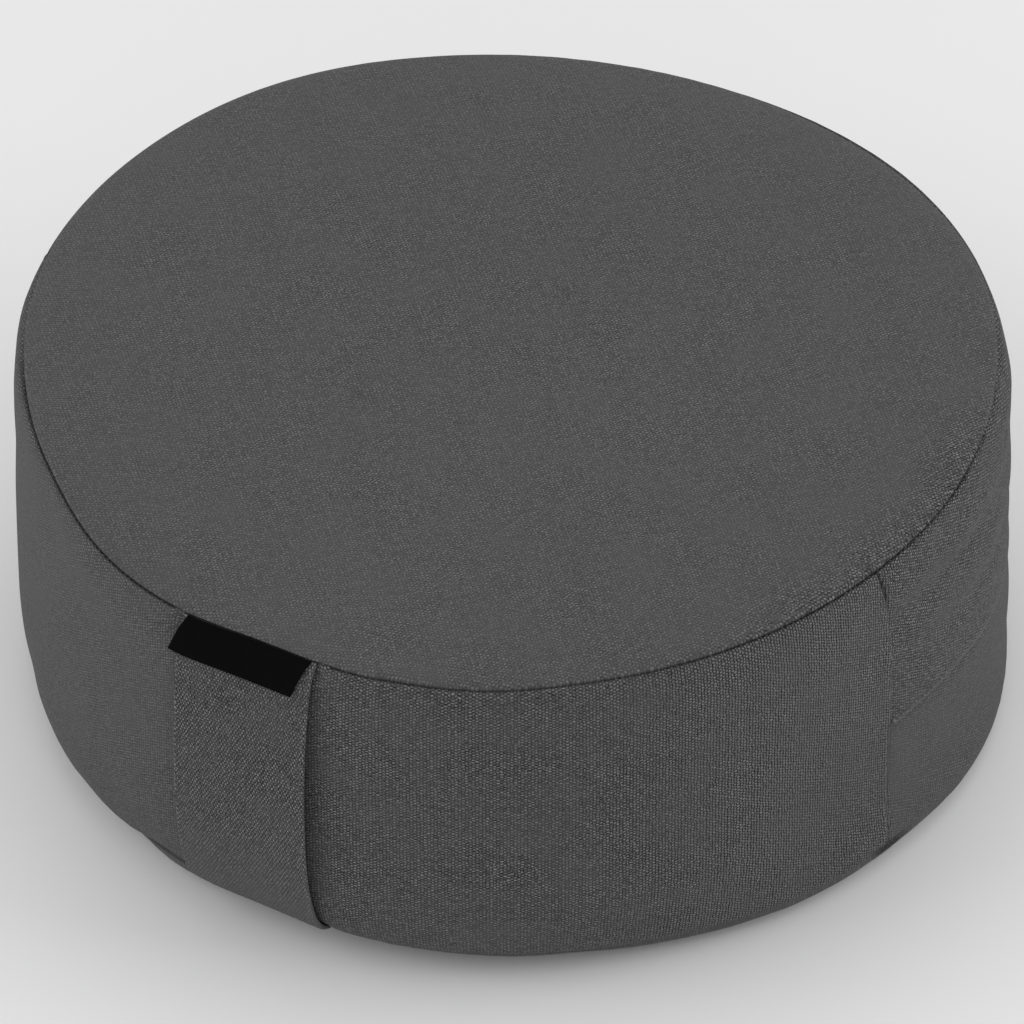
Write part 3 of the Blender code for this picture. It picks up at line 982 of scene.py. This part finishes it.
def settle(sizes, points, rim_row, hem_row):
    """How far each point is lifted where the filling presses the slack cloth out between seams.

    A coarse copy of the grid, uneven by a fraction of a millimetre, is held at the seams, the
    joins and the floor while the cloth settles. Only what differs round the drum is kept, and of
    that a share up to the cap: cap times tanh(share times lift / cap)."""
    columns = drum_columns(sizes)
    run = path_length(points).mean(axis=1)
    even = np.searchsorted(run, np.arange(SETTLE_STEP, run[-1], SETTLE_STEP))
    rows = np.unique(np.concatenate([even, [rim_row, hem_row, len(run) - 1]]))
    start = points[rows][:, ::SETTLE_COLUMNS]
    azimuth = columns[::SETTLE_COLUMNS]
    rough = soft_noise(azimuth, run[rows][:, None], SETTLE_ROUGH_SCALE, SEED + 3)
    at_seam = np.isin(rows, (rim_row, hem_row))[:, None]
    on_band = ((rows > rim_row) & (rows < hem_row))[:, None]
    at_join = on_band & (np.abs(past_join(sizes, azimuth)) < SETTLE_JOIN)
    held = at_seam | at_join | (start[..., 2] < SETTLE_FLOOR)
    start = lifted(start, np.where(held, 0.0, SETTLE_ROUGH * rough))
    lift = ((simulate(start, held) - start) * outward(start)).sum(axis=2)
    lift = lift - lift.mean(axis=1, keepdims=True)
    lift = SETTLE_CAP * np.tanh(SETTLE_SHARE * lift / SETTLE_CAP)
    down = spread_weights(run[:, None] - run[rows], SETTLE_STEP)
    between = turn_between(columns[:, None], azimuth[:-1])
    along = spread_weights(between, 360.0 * SETTLE_COLUMNS / DRUM_COLUMNS)
    return down @ lift[:, :-1] @ along.T


# ---------------------------------------------------------------- meshes from grids


def new_object(name, points, *faces):
    """A smooth shaded mesh object at the origin, from an array of points and arrays of faces."""
    mesh = bpy.data.meshes.new(name)
    mesh.from_pydata(points.tolist(), [], sum((part.tolist() for part in faces), []))
    mesh.shade_smooth()
    piece = bpy.data.objects.new(name, mesh)
    bpy.context.scene.collection.objects.link(piece)
    return piece


def add_uv(piece, *parts):
    """Puts UV pairs, one for each face corner in order, into the piece's weave map."""
    uv = np.concatenate([part.reshape(-1, 2) for part in parts])
    layer = piece.data.uv_layers.new(name="weave")
    layer.uv.foreach_set("vector", uv.astype(np.float32).ravel())


def add_cloth_values(piece, shade, crisp, upright):
    """Stores the painted shade on the cloth, or if negative its painted highlight, how crisp its
    weave is, and how far its thick threads stand out from its checks."""
    named = {"seam_shade": shade, "weave_crisp": crisp, "weave_upright": upright}
    for name, values in named.items():
        layer = piece.data.attributes.new(name, "FLOAT", "POINT")
        layer.data.foreach_set("value", np.asarray(values, dtype=np.float32).ravel())


def planar(points, turn, shift):
    """Flat cloth coordinates in metres: x and y turned, then moved aside."""
    x, y = points[..., 0], points[..., 1]
    across = x * math.cos(turn) + y * math.sin(turn)
    along = -x * math.sin(turn) + y * math.cos(turn)
    return np.stack([across + shift, along], axis=-1)


def closed_points(points):
    """A wrapped grid's points without its last column, and the top and base poles at the end."""
    poles = [[0.0, 0.0, points[0, :, 2].mean()], [0.0, 0.0, 0.0]]
    return np.concatenate([points[:, :-1].reshape(-1, 3), poles])


def closed_faces(rows, columns):
    """Quads between the rows, wrapped at the last column, and a fan at each pole."""
    index = wrap(np.arange(rows * columns).reshape(rows, columns))
    pole = np.full(columns, rows * columns)
    top = np.stack([pole, index[0, :-1], index[0, 1:]], axis=1)
    base = np.stack([pole + 1, index[-1, 1:], index[-1, :-1]], axis=1)
    return quads(index), top, base


def drum_mesh(drum, turn):
    """The closed drum with its cloth coordinates, panels and stored values."""
    rows, wide = drum.points.shape[:2]
    rim, hem = drum.rim_row, drum.hem_row
    points = closed_points(drum.points)
    body, top, base = closed_faces(rows, wide - 1)
    piece = new_object("cushion_body", points, body, top, base)

    def on_top(part):
        return planar(part, turn, 0.0)

    def on_base(part):
        return planar(part, turn + BASE_TURN, BASE_SHIFT)

    around_band = np.radians(drum.columns) * BAND_AROUND + BAND_SHIFT
    band = np.stack([around_band, -drum.run], axis=-1)[rim : hem + 1]
    top_uv, base_uv = on_top(drum.points[: rim + 1]), on_base(drum.points[hem:])
    fans = (on_top(points[top]), on_base(points[base]))
    add_uv(piece, quads(top_uv), quads(band), quads(base_uv), *fans)
    panel = np.zeros(len(piece.data.polygons), dtype=np.int32)
    panel[rim * (wide - 1) : hem * (wide - 1)] = 1
    piece.data.polygons.foreach_set("material_index", panel)
    stored = ((drum.shade, 0.0), (drum.crisp, 1.0), (drum.upright, 0.0))
    values = [np.append(grid[:, :-1], [at_pole, at_pole]) for grid, at_pole in stored]
    add_cloth_values(piece, *values)
    return piece


# ---------------------------------------------------------------- strap and tag


def strap_path(sizes, across, spread):
    """Height and share of the bow along the strap: a sine over its length, down to the hem."""
    top = sizes.rim_height - STRAP_TOP_DROP
    hem = hem_height(sizes, np.degrees(np.arcsin(across / sizes.rim_radius)))
    foot = hem + STRAP_FOOT_LIFT
    return top + (foot - top) * spread, np.sin(np.pi * clamp(spread))


def strap_inner(sizes, strap, across, spread):
    """The strap's inner face: the drum, plus the gap and the bow, flatter at mid height."""
    height, bow = strap_path(sizes, across, spread)
    middle = drum_radius(sizes, np.zeros(np.shape(height)), height)
    azimuth = np.degrees(np.arcsin(across / middle))
    beside = np.sqrt(drum_radius(sizes, azimuth, height) ** 2 - across**2)
    bridged = STRAP_FLAT * bow * np.maximum(middle - beside, 0.0)
    y = -(beside + CLEARANCE + strap.bow * bow + bridged)
    across, height = np.broadcast_arrays(across, height)
    return np.stack([across, y, height], axis=-1)


def strap_spread(along):
    """Rows of the strap, closer together at its two ends."""
    eased = (1.0 - STRAP_EVEN_ROWS) * (1.0 - np.cos(np.pi * along)) / 2.0
    return eased + STRAP_EVEN_ROWS * along


def end_share(sizes, across, height):
    """1 at the strap's upper end and less at its foot, falling to 0 a little way along it."""
    top = strap_path(sizes, across, 0.0)[0]
    foot = strap_path(sizes, across, 1.0)[0]
    at_top = window(top - height, STRAP_END_REACH)
    return at_top + STRAP_FOOT_SHARE * window(height - foot, STRAP_END_REACH)


def ring_section(outer, inner, edge):
    """A section as across and out: two faces, and an edge that is mirrored to the other side."""
    return np.concatenate([outer, edge, inner[::-1], edge[::-1] * [-1.0, 1.0]])


def strap_section(width, thickness, roll):
    """A doubled strip in section, as across and out: two flat faces and two rolled edges.

    Each edge is a half round whose radius is half the thickness plus the roll, and the faces
    swell to meet it as exp(-distance from the edge / 1.1 mm)."""
    half = width / 2.0
    turn = np.linspace(-np.pi / 2.0, np.pi / 2.0, STRAP_FACE_STEPS)
    face = np.sin(turn) * (half - STRAP_EDGE_IN)
    swell = roll * np.exp(-(half - np.abs(face)) / STRAP_ROLL_FADE)
    turn = np.linspace(np.pi / 2.0, -np.pi / 2.0, STRAP_EDGE_STEPS + 2)[1:-1]
    bulge = thickness / 2.0 + swell[-1]
    edge = np.stack([face[-1] + bulge * np.cos(turn), thickness / 2.0 + bulge * np.sin(turn)], 1)
    return ring_section(np.stack([face, thickness + swell], 1), np.stack([face, -swell], 1), edge)


def tag_section(width, thickness):
    """The tag in section: two flat faces that meet at a blunt point on each side."""
    face = np.linspace(-width / 2.0, width / 2.0, TAG_FACE_STEPS)
    outer = np.stack([face, np.full(TAG_FACE_STEPS, thickness)], axis=1)
    edge = np.array([[width / 2.0 + TAG_EDGE * thickness, thickness / 2.0]])
    return ring_section(outer, outer * [1.0, 0.0], edge)


def strap_frame(sizes, strap, across, spread):
    """Points on the strap's inner face, and the unit normals out of it by finite differences."""
    step, side = STRAP_NORMAL_STEPS
    place = strap_inner(sizes, strap, across, spread)
    before = strap_inner(sizes, strap, across, clamp(spread - step))
    after = strap_inner(sizes, strap, across, clamp(spread + step))
    beside = strap_inner(sizes, strap, across + side, spread) - place
    normal = np.cross(after - before, beside)
    return place, normal / np.linalg.norm(normal, axis=2, keepdims=True)


def strap_rings(sizes, strap):
    """Rings of the strap's section, thinner where its ends are sewn into the seams."""
    section = strap_section(strap.width, strap.thickness, STRAP_ROLL)
    spread = strap_spread(np.linspace(0.0, 1.0, STRAP_ROWS))[:, None]
    across = np.broadcast_to(section[:, 0], (STRAP_ROWS, len(section)))
    place, normal = strap_frame(sizes, strap, across, spread)
    ends = end_share(sizes, across, place[..., 2])
    out = section[:, 1] * (1.0 - STRAP_END_THIN * ends) - 0.5 * CLEARANCE * ends
    return place + normal * out[..., None], section


def tag_rings(sizes, strap, tag):
    """Rings of the tag, over the strap's outer face and skewed as it goes down."""
    section = tag_section(tag.width, tag.thickness)
    fine = np.linspace(0.0, 1.0, TAG_FINE_ROWS)[:, None]
    run = path_length(strap_inner(sizes, strap, np.zeros(fine.shape), fine))[:, 0]
    reach = np.interp(tag.height, run, fine[:, 0])
    along = np.linspace(0.0, 1.0, TAG_ROWS)[:, None]
    across = section[:, 0] + tag.shift + tag.skew * along
    place, normal = strap_frame(sizes, strap, across, along * reach)
    ends = end_share(sizes, across, place[..., 2])
    under = strap.thickness * (1.0 - STRAP_END_THIN * ends)
    under = under + CLEARANCE * (1.0 - TAG_END_CLOSE * ends)
    out = under + section[:, 1] * (1.0 - TAG_END_THIN * ends)
    return place + normal * out[..., None], across, along * tag.height


def ribbon_mesh(name, rings):
    """A closed ribbon from rings of points, one ring a row, with both ends filled."""
    rows, steps = rings.shape[:2]
    index = np.arange(rows * steps).reshape(rows, steps)
    ends = np.stack([index[0], index[-1, ::-1]])
    return new_object(name, rings.reshape(-1, 3), quads(wrap(index)), ends)


def ribbon_uv(piece, across, along):
    """Corner UVs of a ribbon's quads from grids that reach once round it, and of its ends."""
    grid = np.stack([across, along], axis=-1)
    add_uv(piece, quads(grid), grid[0, :-1], grid[-1, :-1][::-1])


# ---------------------------------------------------------------- shader expressions


def operation(kind, swapped=False):
    """A method of Sock that adds the Math node of this kind, its values swapped if reflected."""

    def method(self, *others):
        values = (*others, self) if swapped else (self, *others)
        return self.tree.node("ShaderNodeMath", {"operation": kind}, values)

    return method


class Sock:
    """A shader value: Python operators on it add the Math nodes that they stand for."""

    def __init__(self, tree, socket):
        self.tree = tree
        self.socket = socket

    __add__ = __radd__ = operation("ADD")
    __sub__ = operation("SUBTRACT")
    __rsub__ = operation("SUBTRACT", swapped=True)
    __mul__ = __rmul__ = operation("MULTIPLY")
    __pow__ = operation("POWER")
    floor = operation("FLOOR")
    cos = operation("COSINE")
    most = operation("MAXIMUM")
    least = operation("MINIMUM")


class NodeTree:
    """A material's node tree, with one method that adds any node."""

    def __init__(self, name):
        self.material = bpy.data.materials.new(name)
        self.material.use_nodes = True
        self.nodes = self.material.node_tree.nodes
        self.links = self.material.node_tree.links
        self.shader = self.nodes["Principled BSDF"].inputs

    def node(self, kind, settings=None, values=(), output=0):
        """Adds a node: its settings are set first, then its sockets get values or links."""
        made = self.nodes.new(kind)
        for name, value in (settings or {}).items():
            setattr(made, name, value)
        self.feed(made.inputs, values)
        return Sock(self, made.outputs[output])

    def feed(self, sockets, values):
        """Gives sockets their values or links, by name or in order."""
        for key, value in values.items() if isinstance(values, dict) else enumerate(values):
            if isinstance(value, Sock):
                self.links.new(value.socket, sockets[key])
            else:
                sockets[key].default_value = value

    def split(self, vector):
        """The three parts of a vector."""
        first = self.node("ShaderNodeSeparateXYZ", None, (vector,))
        return [Sock(self, out) for out in first.socket.node.outputs]

    def combine(self, x, y, z=0.0):
        """A vector of three values."""
        return self.node("ShaderNodeCombineXYZ", None, (x, y, z))

    def attribute(self, name):
        """A value that is stored on the mesh."""
        return self.node("ShaderNodeAttribute", {"attribute_name": name}, output=2)

    def noise(self, vector, scale, detail=2.0, output=0):
        """Smooth noise, as a value or, from output 1, as a colour."""
        values = {"Vector": vector, "Scale": scale, "Detail": detail}
        return self.node("ShaderNodeTexNoise", None, values, output)

    def random(self, column, row):
        """White noise of a cell, by its column and row."""
        cell = self.combine(column, row)
        return self.node("ShaderNodeTexWhiteNoise", {"noise_dimensions": "2D"}, {"Vector": cell})

    def finish(self, colour, tone, relief, depth, roughness):
        """Feeds the shader: a colour times a tone, a relief as bump, and the roughness."""
        self.feed(self.shader, {"Base Color": self.scaled_colour(colour, tone)})
        values = {"Strength": 1.0, "Distance": depth, "Height": relief}
        bump = self.node("ShaderNodeBump", None, values)
        self.feed(self.shader, {"Normal": bump, "Roughness": roughness})

    def scaled_colour(self, colour, factor):
        """A plain colour times a value, through Vector Math."""
        grey = self.combine(factor, factor, factor)
        settings = {"operation": "MULTIPLY"}
        return self.node("ShaderNodeVectorMath", settings, (tuple(colour), grey))


# How a piece's cloth shows its weave: painted light on the threads and painted shade in the gaps
# between them, light and dark from one crossing to the next, unevenness of the crossings, sway of
# the threads in thread widths, depth of the bump
Weave = namedtuple("Weave", "threads checks uneven sway bump")
DISC_WEAVE = Weave(0.54, 0.13, 0.95, 1.2, 0.00016)
BAND_WEAVE = Weave(0.78, 0.21, 1.20, 1.2, 0.00028)
STRAP_WEAVE = Weave(1.00, 0.30, 1.50, 1.1, 0.00034)

# Noise scales, per metre, and the pitch of the tape's ribs and threads
SWAY_SCALE, PATCH_SCALE, FUZZ_SCALE, CLOUD_SCALE, TAPE_SCALE = 420.0, 38.0, 1500.0, 7.0, 120.0
THICK_ROUND, THIN_ROUND = 0.42, 0.50
ON_TOP, OVER_UNDER, THIN_LOW = 0.58, 0.42, 0.60
MEAN_HEIGHT, MEAN_ARCH = 0.58, 0.80
RIB_PITCH, TAPE_THREAD_PITCH = 0.00055, 0.00042


def woven(tree, uv, cloth, weave):
    """Height of the plain weave, its checks, each crossing's tone and the thick threads' arch.

    Thick threads cross thin ones, each over one and under the next. Across a thread the height
    is a cosine arch, and along it a cosine that peaks where the thread is on top. The higher of
    the two threads shows, the thin ones a little lower, from 0 in the gaps to 1."""
    sway = tree.split(tree.noise(uv, SWAY_SCALE, output=1))
    u, v, _ = tree.split(uv)
    u = u * (1.0 / cloth.thick_thread) + (sway[0] - 0.5) * weave.sway
    v = v * (1.0 / cloth.thin_thread) + (sway[1] - 0.5) * (1.6 * weave.sway)
    column, row = u.floor(), v.floor()
    thick_arch = ((u - column - 0.5) * math.pi).cos().most(0.0) ** THICK_ROUND
    thin_arch = ((v - row - 0.5) * math.pi).cos().most(0.0) ** THIN_ROUND
    thick_on_top = ((v + column - 0.5) * math.pi).cos() * OVER_UNDER + ON_TOP
    thin_on_top = OVER_UNDER - ((u + row - 0.5) * math.pi).cos() * OVER_UNDER
    height = (thick_arch * thick_on_top).most(thin_arch * thin_on_top * THIN_LOW)
    checks = ((u - 0.5) * math.pi).cos() * ((v - 0.5) * math.pi).cos()
    crossing = tree.random(column, row) - 0.5
    threads = tree.random(column, 0.5) + tree.random(0.5, row) - 1.0
    checks = checks * (crossing * weave.uneven + weave.checks)
    return height, checks, crossing * (0.2 * weave.uneven) + threads * 0.04, thick_arch


def canvas(name, colour, cloth, weave):
    """Dark grey canvas: woven threads in relief, painted shade in their gaps, painted shade at
    seams and creases, painted highlights on edges, soft fuzz.
    """
    tree = NodeTree(name)
    uv = tree.node("ShaderNodeUVMap", {"uv_map": "weave"})
    height, checks, uneven, thick = woven(tree, uv, cloth, weave)
    upright = tree.attribute("weave_upright")
    checks = checks * (1.0 - upright * 0.65) + (thick - MEAN_ARCH) * (upright * 0.9)
    crisp = tree.attribute("weave_crisp")
    patch = (tree.noise(uv, PATCH_SCALE) * 1.5 + 0.25) * crisp
    fuzz = tree.noise(uv, FUZZ_SCALE, 0.0) - 0.5
    cloud = tree.noise(uv, CLOUD_SCALE, 3.0) - 0.5
    # The weave's height paints its gaps darker and the tops of its threads lighter, as painted
    # shade and light, and its crossings and threads get random tones
    pattern = (height - MEAN_HEIGHT) * (1.7 * weave.threads) + checks
    tone = (pattern + uneven + fuzz * 0.9) * patch + 1.0
    # Painted shade at seams and creases, and where negative painted highlights on edges, a little
    # darker in the gaps between threads
    seam = tree.attribute("seam_shade") * (1.05 - height * 0.35)
    tone = tone.most(0.08) * (1.0 - seam).most(0.05) * (cloud * 0.08 + 1.0)
    rough = ((1.0 - height) * 0.05 + 0.93).least(1.0)
    tree.finish(colour, tone, height + uneven * 0.4 + fuzz * 0.5, weave.bump, rough)
    nap = {"Specular IOR Level": 0.20, "Sheen Weight": 0.05, "Sheen Roughness": 0.6}
    tree.feed(tree.shader, nap)
    return tree.material


def tag_tape(colour):
    """Black woven tape: fine ribs across it and finer threads along it, dull and uneven."""
    tree = NodeTree("black_tape")
    uv = tree.node("ShaderNodeUVMap", {"uv_map": "weave"})
    u, v, _ = tree.split(uv)
    rib = (v * (2.0 * math.pi / RIB_PITCH)).cos() * 0.5 + 0.5
    thread = (u * (2.0 * math.pi / TAPE_THREAD_PITCH)).cos() * 0.5 + 0.5
    height = rib * 0.7 + thread * 0.3
    cloud = tree.noise(uv, TAPE_SCALE, 3.0)
    tree.finish(colour, height * 0.8 + cloud * 0.8 + 0.2, height, 0.00006, cloud * 0.1 + 0.85)
    tree.feed(tree.shader, {"Specular IOR Level": 0.04})
    return tree.material


def floor_paper(white):
    """Plain pale floor with the faintest unevenness."""
    tree = NodeTree("pale_floor")
    place = tree.node("ShaderNodeTexCoord", output=3)
    pale = tree.scaled_colour((1.0, 1.0, 1.0), tree.noise(place, 2.0) * 0.01 + white)
    tree.feed(tree.shader, {"Base Color": pale, "Roughness": 1.0, "Specular IOR Level": 0.0})
    return tree.material


# ---------------------------------------------------------------- the stage

# A square floor, just under the base so that the two don't flicker
FLOOR_HALF = 6.0
FLOOR_DROP = 0.0001

# Soft lamps round the camera's line of sight: azimuth from the camera, elevation, size, watts
Lamp = namedtuple("Lamp", "name azimuth elevation distance size power")
LAMPS = (
    Lamp("left softbox", -78.0, 34.0, 1.9, 1.3, 8.3),
    Lamp("right softbox", 84.0, 30.0, 1.9, 1.3, 8.6),
    Lamp("top softbox", 180.0, 72.0, 2.0, 1.6, 5.7),
    Lamp("front softbox", 6.0, 22.0, 2.3, 1.2, 3.2),
)

# What the lamps and the camera face, and how far the picture's middle is off it, in pixels
AIM_HEIGHT = 0.07
PICTURE = 1024.0
PICTURE_SHIFT = (5.0, 6.0)


def set_out(name, data, azimuth, elevation, distance):
    """Puts a lamp or camera on a sphere round the cushion's middle, facing that middle."""
    flat = math.cos(elevation)
    place = [math.sin(azimuth) * flat, -math.cos(azimuth) * flat, math.sin(elevation)]
    holder = bpy.data.objects.new(name, data)
    holder.location = np.array(place) * distance + [0.0, 0.0, AIM_HEIGHT]
    holder.rotation_euler = (math.pi / 2.0 - elevation, 0.0, azimuth)
    bpy.context.scene.collection.objects.link(holder)
    return holder


def add_lamp(lamp, setup):
    """A square area lamp."""
    light = bpy.data.lights.new(lamp.name.replace(" ", "_"), "AREA")
    light.energy = lamp.power
    light.size = lamp.size
    azimuth = setup.azimuth + math.radians(lamp.azimuth)
    set_out(light.name, light, azimuth, math.radians(lamp.elevation), lamp.distance)


def light_sky(scene, strength):
    """An even white surround."""
    world = bpy.data.worlds.new("even_surround")
    world.use_nodes = True
    background = world.node_tree.nodes["Background"]
    background.inputs["Color"].default_value = (1.0, 1.0, 1.0, 1.0)
    background.inputs["Strength"].default_value = strength
    scene.world = world


def add_camera(scene, setup):
    """The camera, with the shift of the photograph's framing."""
    data = bpy.data.cameras.new("view")
    data.lens = setup.lens
    data.sensor_width = 36.0
    data.clip_end = 50.0
    data.shift_x, data.shift_y = (shift / PICTURE for shift in PICTURE_SHIFT)
    scene.camera = set_out("view", data, setup.azimuth, setup.elevation, setup.distance)


# ---------------------------------------------------------------- operators


class CUSHION_OT_body(bpy.types.Operator):
    """Builds the filled drum with its sewn panels"""

    bl_idname = "cushion.body"
    bl_label = "Cushion body"

    def execute(self, context):
        sizes, cloth = context.scene.cushion_drum, context.scene.cushion_cloth
        piece = drum_mesh(drum_grid(sizes), cloth.disc_turn)
        grey = tuple(cloth.grey)
        piece.data.materials.append(canvas("canvas_discs", grey, cloth, DISC_WEAVE))
        piece.data.materials.append(canvas("canvas_band", grey, cloth, BAND_WEAVE))
        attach(piece, "root")
        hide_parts("cushion")
        return {"FINISHED"}


class CUSHION_OT_strap(bpy.types.Operator):
    """Builds the carry strap of doubled cloth"""

    bl_idname = "cushion.strap"
    bl_label = "Carry strap"

    def execute(self, context):
        strap, cloth = context.scene.cushion_strap, context.scene.cushion_cloth
        rings, section = strap_rings(context.scene.cushion_drum, strap)
        piece = ribbon_mesh("strap_cloth", rings)
        closed = np.concatenate([section, section[:1]])
        across = path_length(closed[:, None])[:, 0]
        run = path_length(rings).mean(axis=1, keepdims=True)
        across, along = np.broadcast_arrays(across, run)
        ribbon_uv(piece, along, across)
        # The strap's rolled edges get a painted highlight, and its lower part is painted a little
        # lighter
        from_edge = np.abs(section[:, 0]) - strap.width / 2.0
        low = clamp((run / run[-1] - 0.5) * STRAP_LOW_RISE)
        shade = along_line(from_edge, STRAP_EDGE_HIGHLIGHT) + STRAP_LOW_SHADE * low
        crisp = np.broadcast_to(STRAP_CRISP - STRAP_LOW_DULL * low, shade.shape)
        add_cloth_values(piece, shade, crisp, np.zeros(shade.shape))
        piece.data.materials.append(canvas("canvas_strap", tuple(cloth.grey), cloth, STRAP_WEAVE))
        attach(piece, "root")
        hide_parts("carry_strap")
        return {"FINISHED"}


class CUSHION_OT_tag(bpy.types.Operator):
    """Builds the plain tag over the strap's upper end"""

    bl_idname = "cushion.tag"
    bl_label = "Plain tag"

    def execute(self, context):
        scene = context.scene
        tag = scene.cushion_tag
        rings, across, along = tag_rings(scene.cushion_drum, scene.cushion_strap, tag)
        piece = ribbon_mesh("tag_tape", rings)
        across = wrap(across)
        ribbon_uv(piece, across, np.broadcast_to(-along, across.shape))
        piece.data.materials.append(tag_tape(tuple(scene.cushion_cloth.black)))
        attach(piece, "root")
        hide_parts("strap_tag")
        return {"FINISHED"}


class CUSHION_OT_studio(bpy.types.Operator):
    """Sets out the pale floor, the soft lights and the camera"""

    bl_idname = "cushion.studio"
    bl_label = "Studio"

    def execute(self, context):
        setup = context.scene.cushion_studio
        half = FLOOR_HALF
        corners = [(-half, -half), (half, -half), (half, half), (-half, half)]
        points = np.array([(x, y, -FLOOR_DROP) for x, y in corners])
        floor = new_object("floor", points, np.array([[0, 1, 2, 3]]))
        floor.data.materials.append(floor_paper(setup.floor_white))
        light_sky(context.scene, setup.sky)
        for lamp in LAMPS:
            add_lamp(lamp, setup)
        add_camera(context.scene, setup)
        context.scene.view_settings.view_transform = "Standard"
        return {"FINISHED"}


# Each group of sizes: its name in the scene, its class, its title and the operator that uses it
GROUPS = (
    ("cushion_drum", DrumSizes, "Drum", "cushion.body"),
    ("cushion_strap", StrapSizes, "Strap", "cushion.strap"),
    ("cushion_tag", TagSizes, "Tag", "cushion.tag"),
    ("cushion_cloth", ClothFinish, "Cloth", None),
    ("cushion_studio", StudioSetup, "Studio", "cushion.studio"),
)


class CUSHION_PT_panel(bpy.types.Panel):
    """Lists the cushion's pieces and their sizes"""

    bl_idname = "CUSHION_PT_panel"
    bl_label = "Cushion"
    bl_space_type = "VIEW_3D"
    bl_region_type = "UI"
    bl_category = "Cushion"

    def draw(self, context):
        for name, _, title, operator in GROUPS:
            group = getattr(context.scene, name)
            box = self.layout.box()
            box.label(text=title)
            for field in group.__annotations__:
                box.prop(group, field)
            if operator:
                box.operator(operator)


CLASSES = (
    CUSHION_OT_body, CUSHION_OT_strap, CUSHION_OT_tag, CUSHION_OT_studio, CUSHION_PT_panel
)


def register():
    for name, group, *_ in GROUPS:
        bpy.utils.register_class(group)
        setattr(bpy.types.Scene, name, bpy.props.PointerProperty(type=group))
    for kind in CLASSES:
        bpy.utils.register_class(kind)


def unregister():
    for kind in reversed(CLASSES):
        bpy.utils.unregister_class(kind)
    for name, group, *_ in reversed(GROUPS):
        delattr(bpy.types.Scene, name)
        bpy.utils.unregister_class(group)


def main():
    register()
    bpy.ops.cushion.studio()
    bpy.ops.cushion.body()
    bpy.ops.cushion.strap()
    bpy.ops.cushion.tag()


if __name__ == "__main__":
    main()
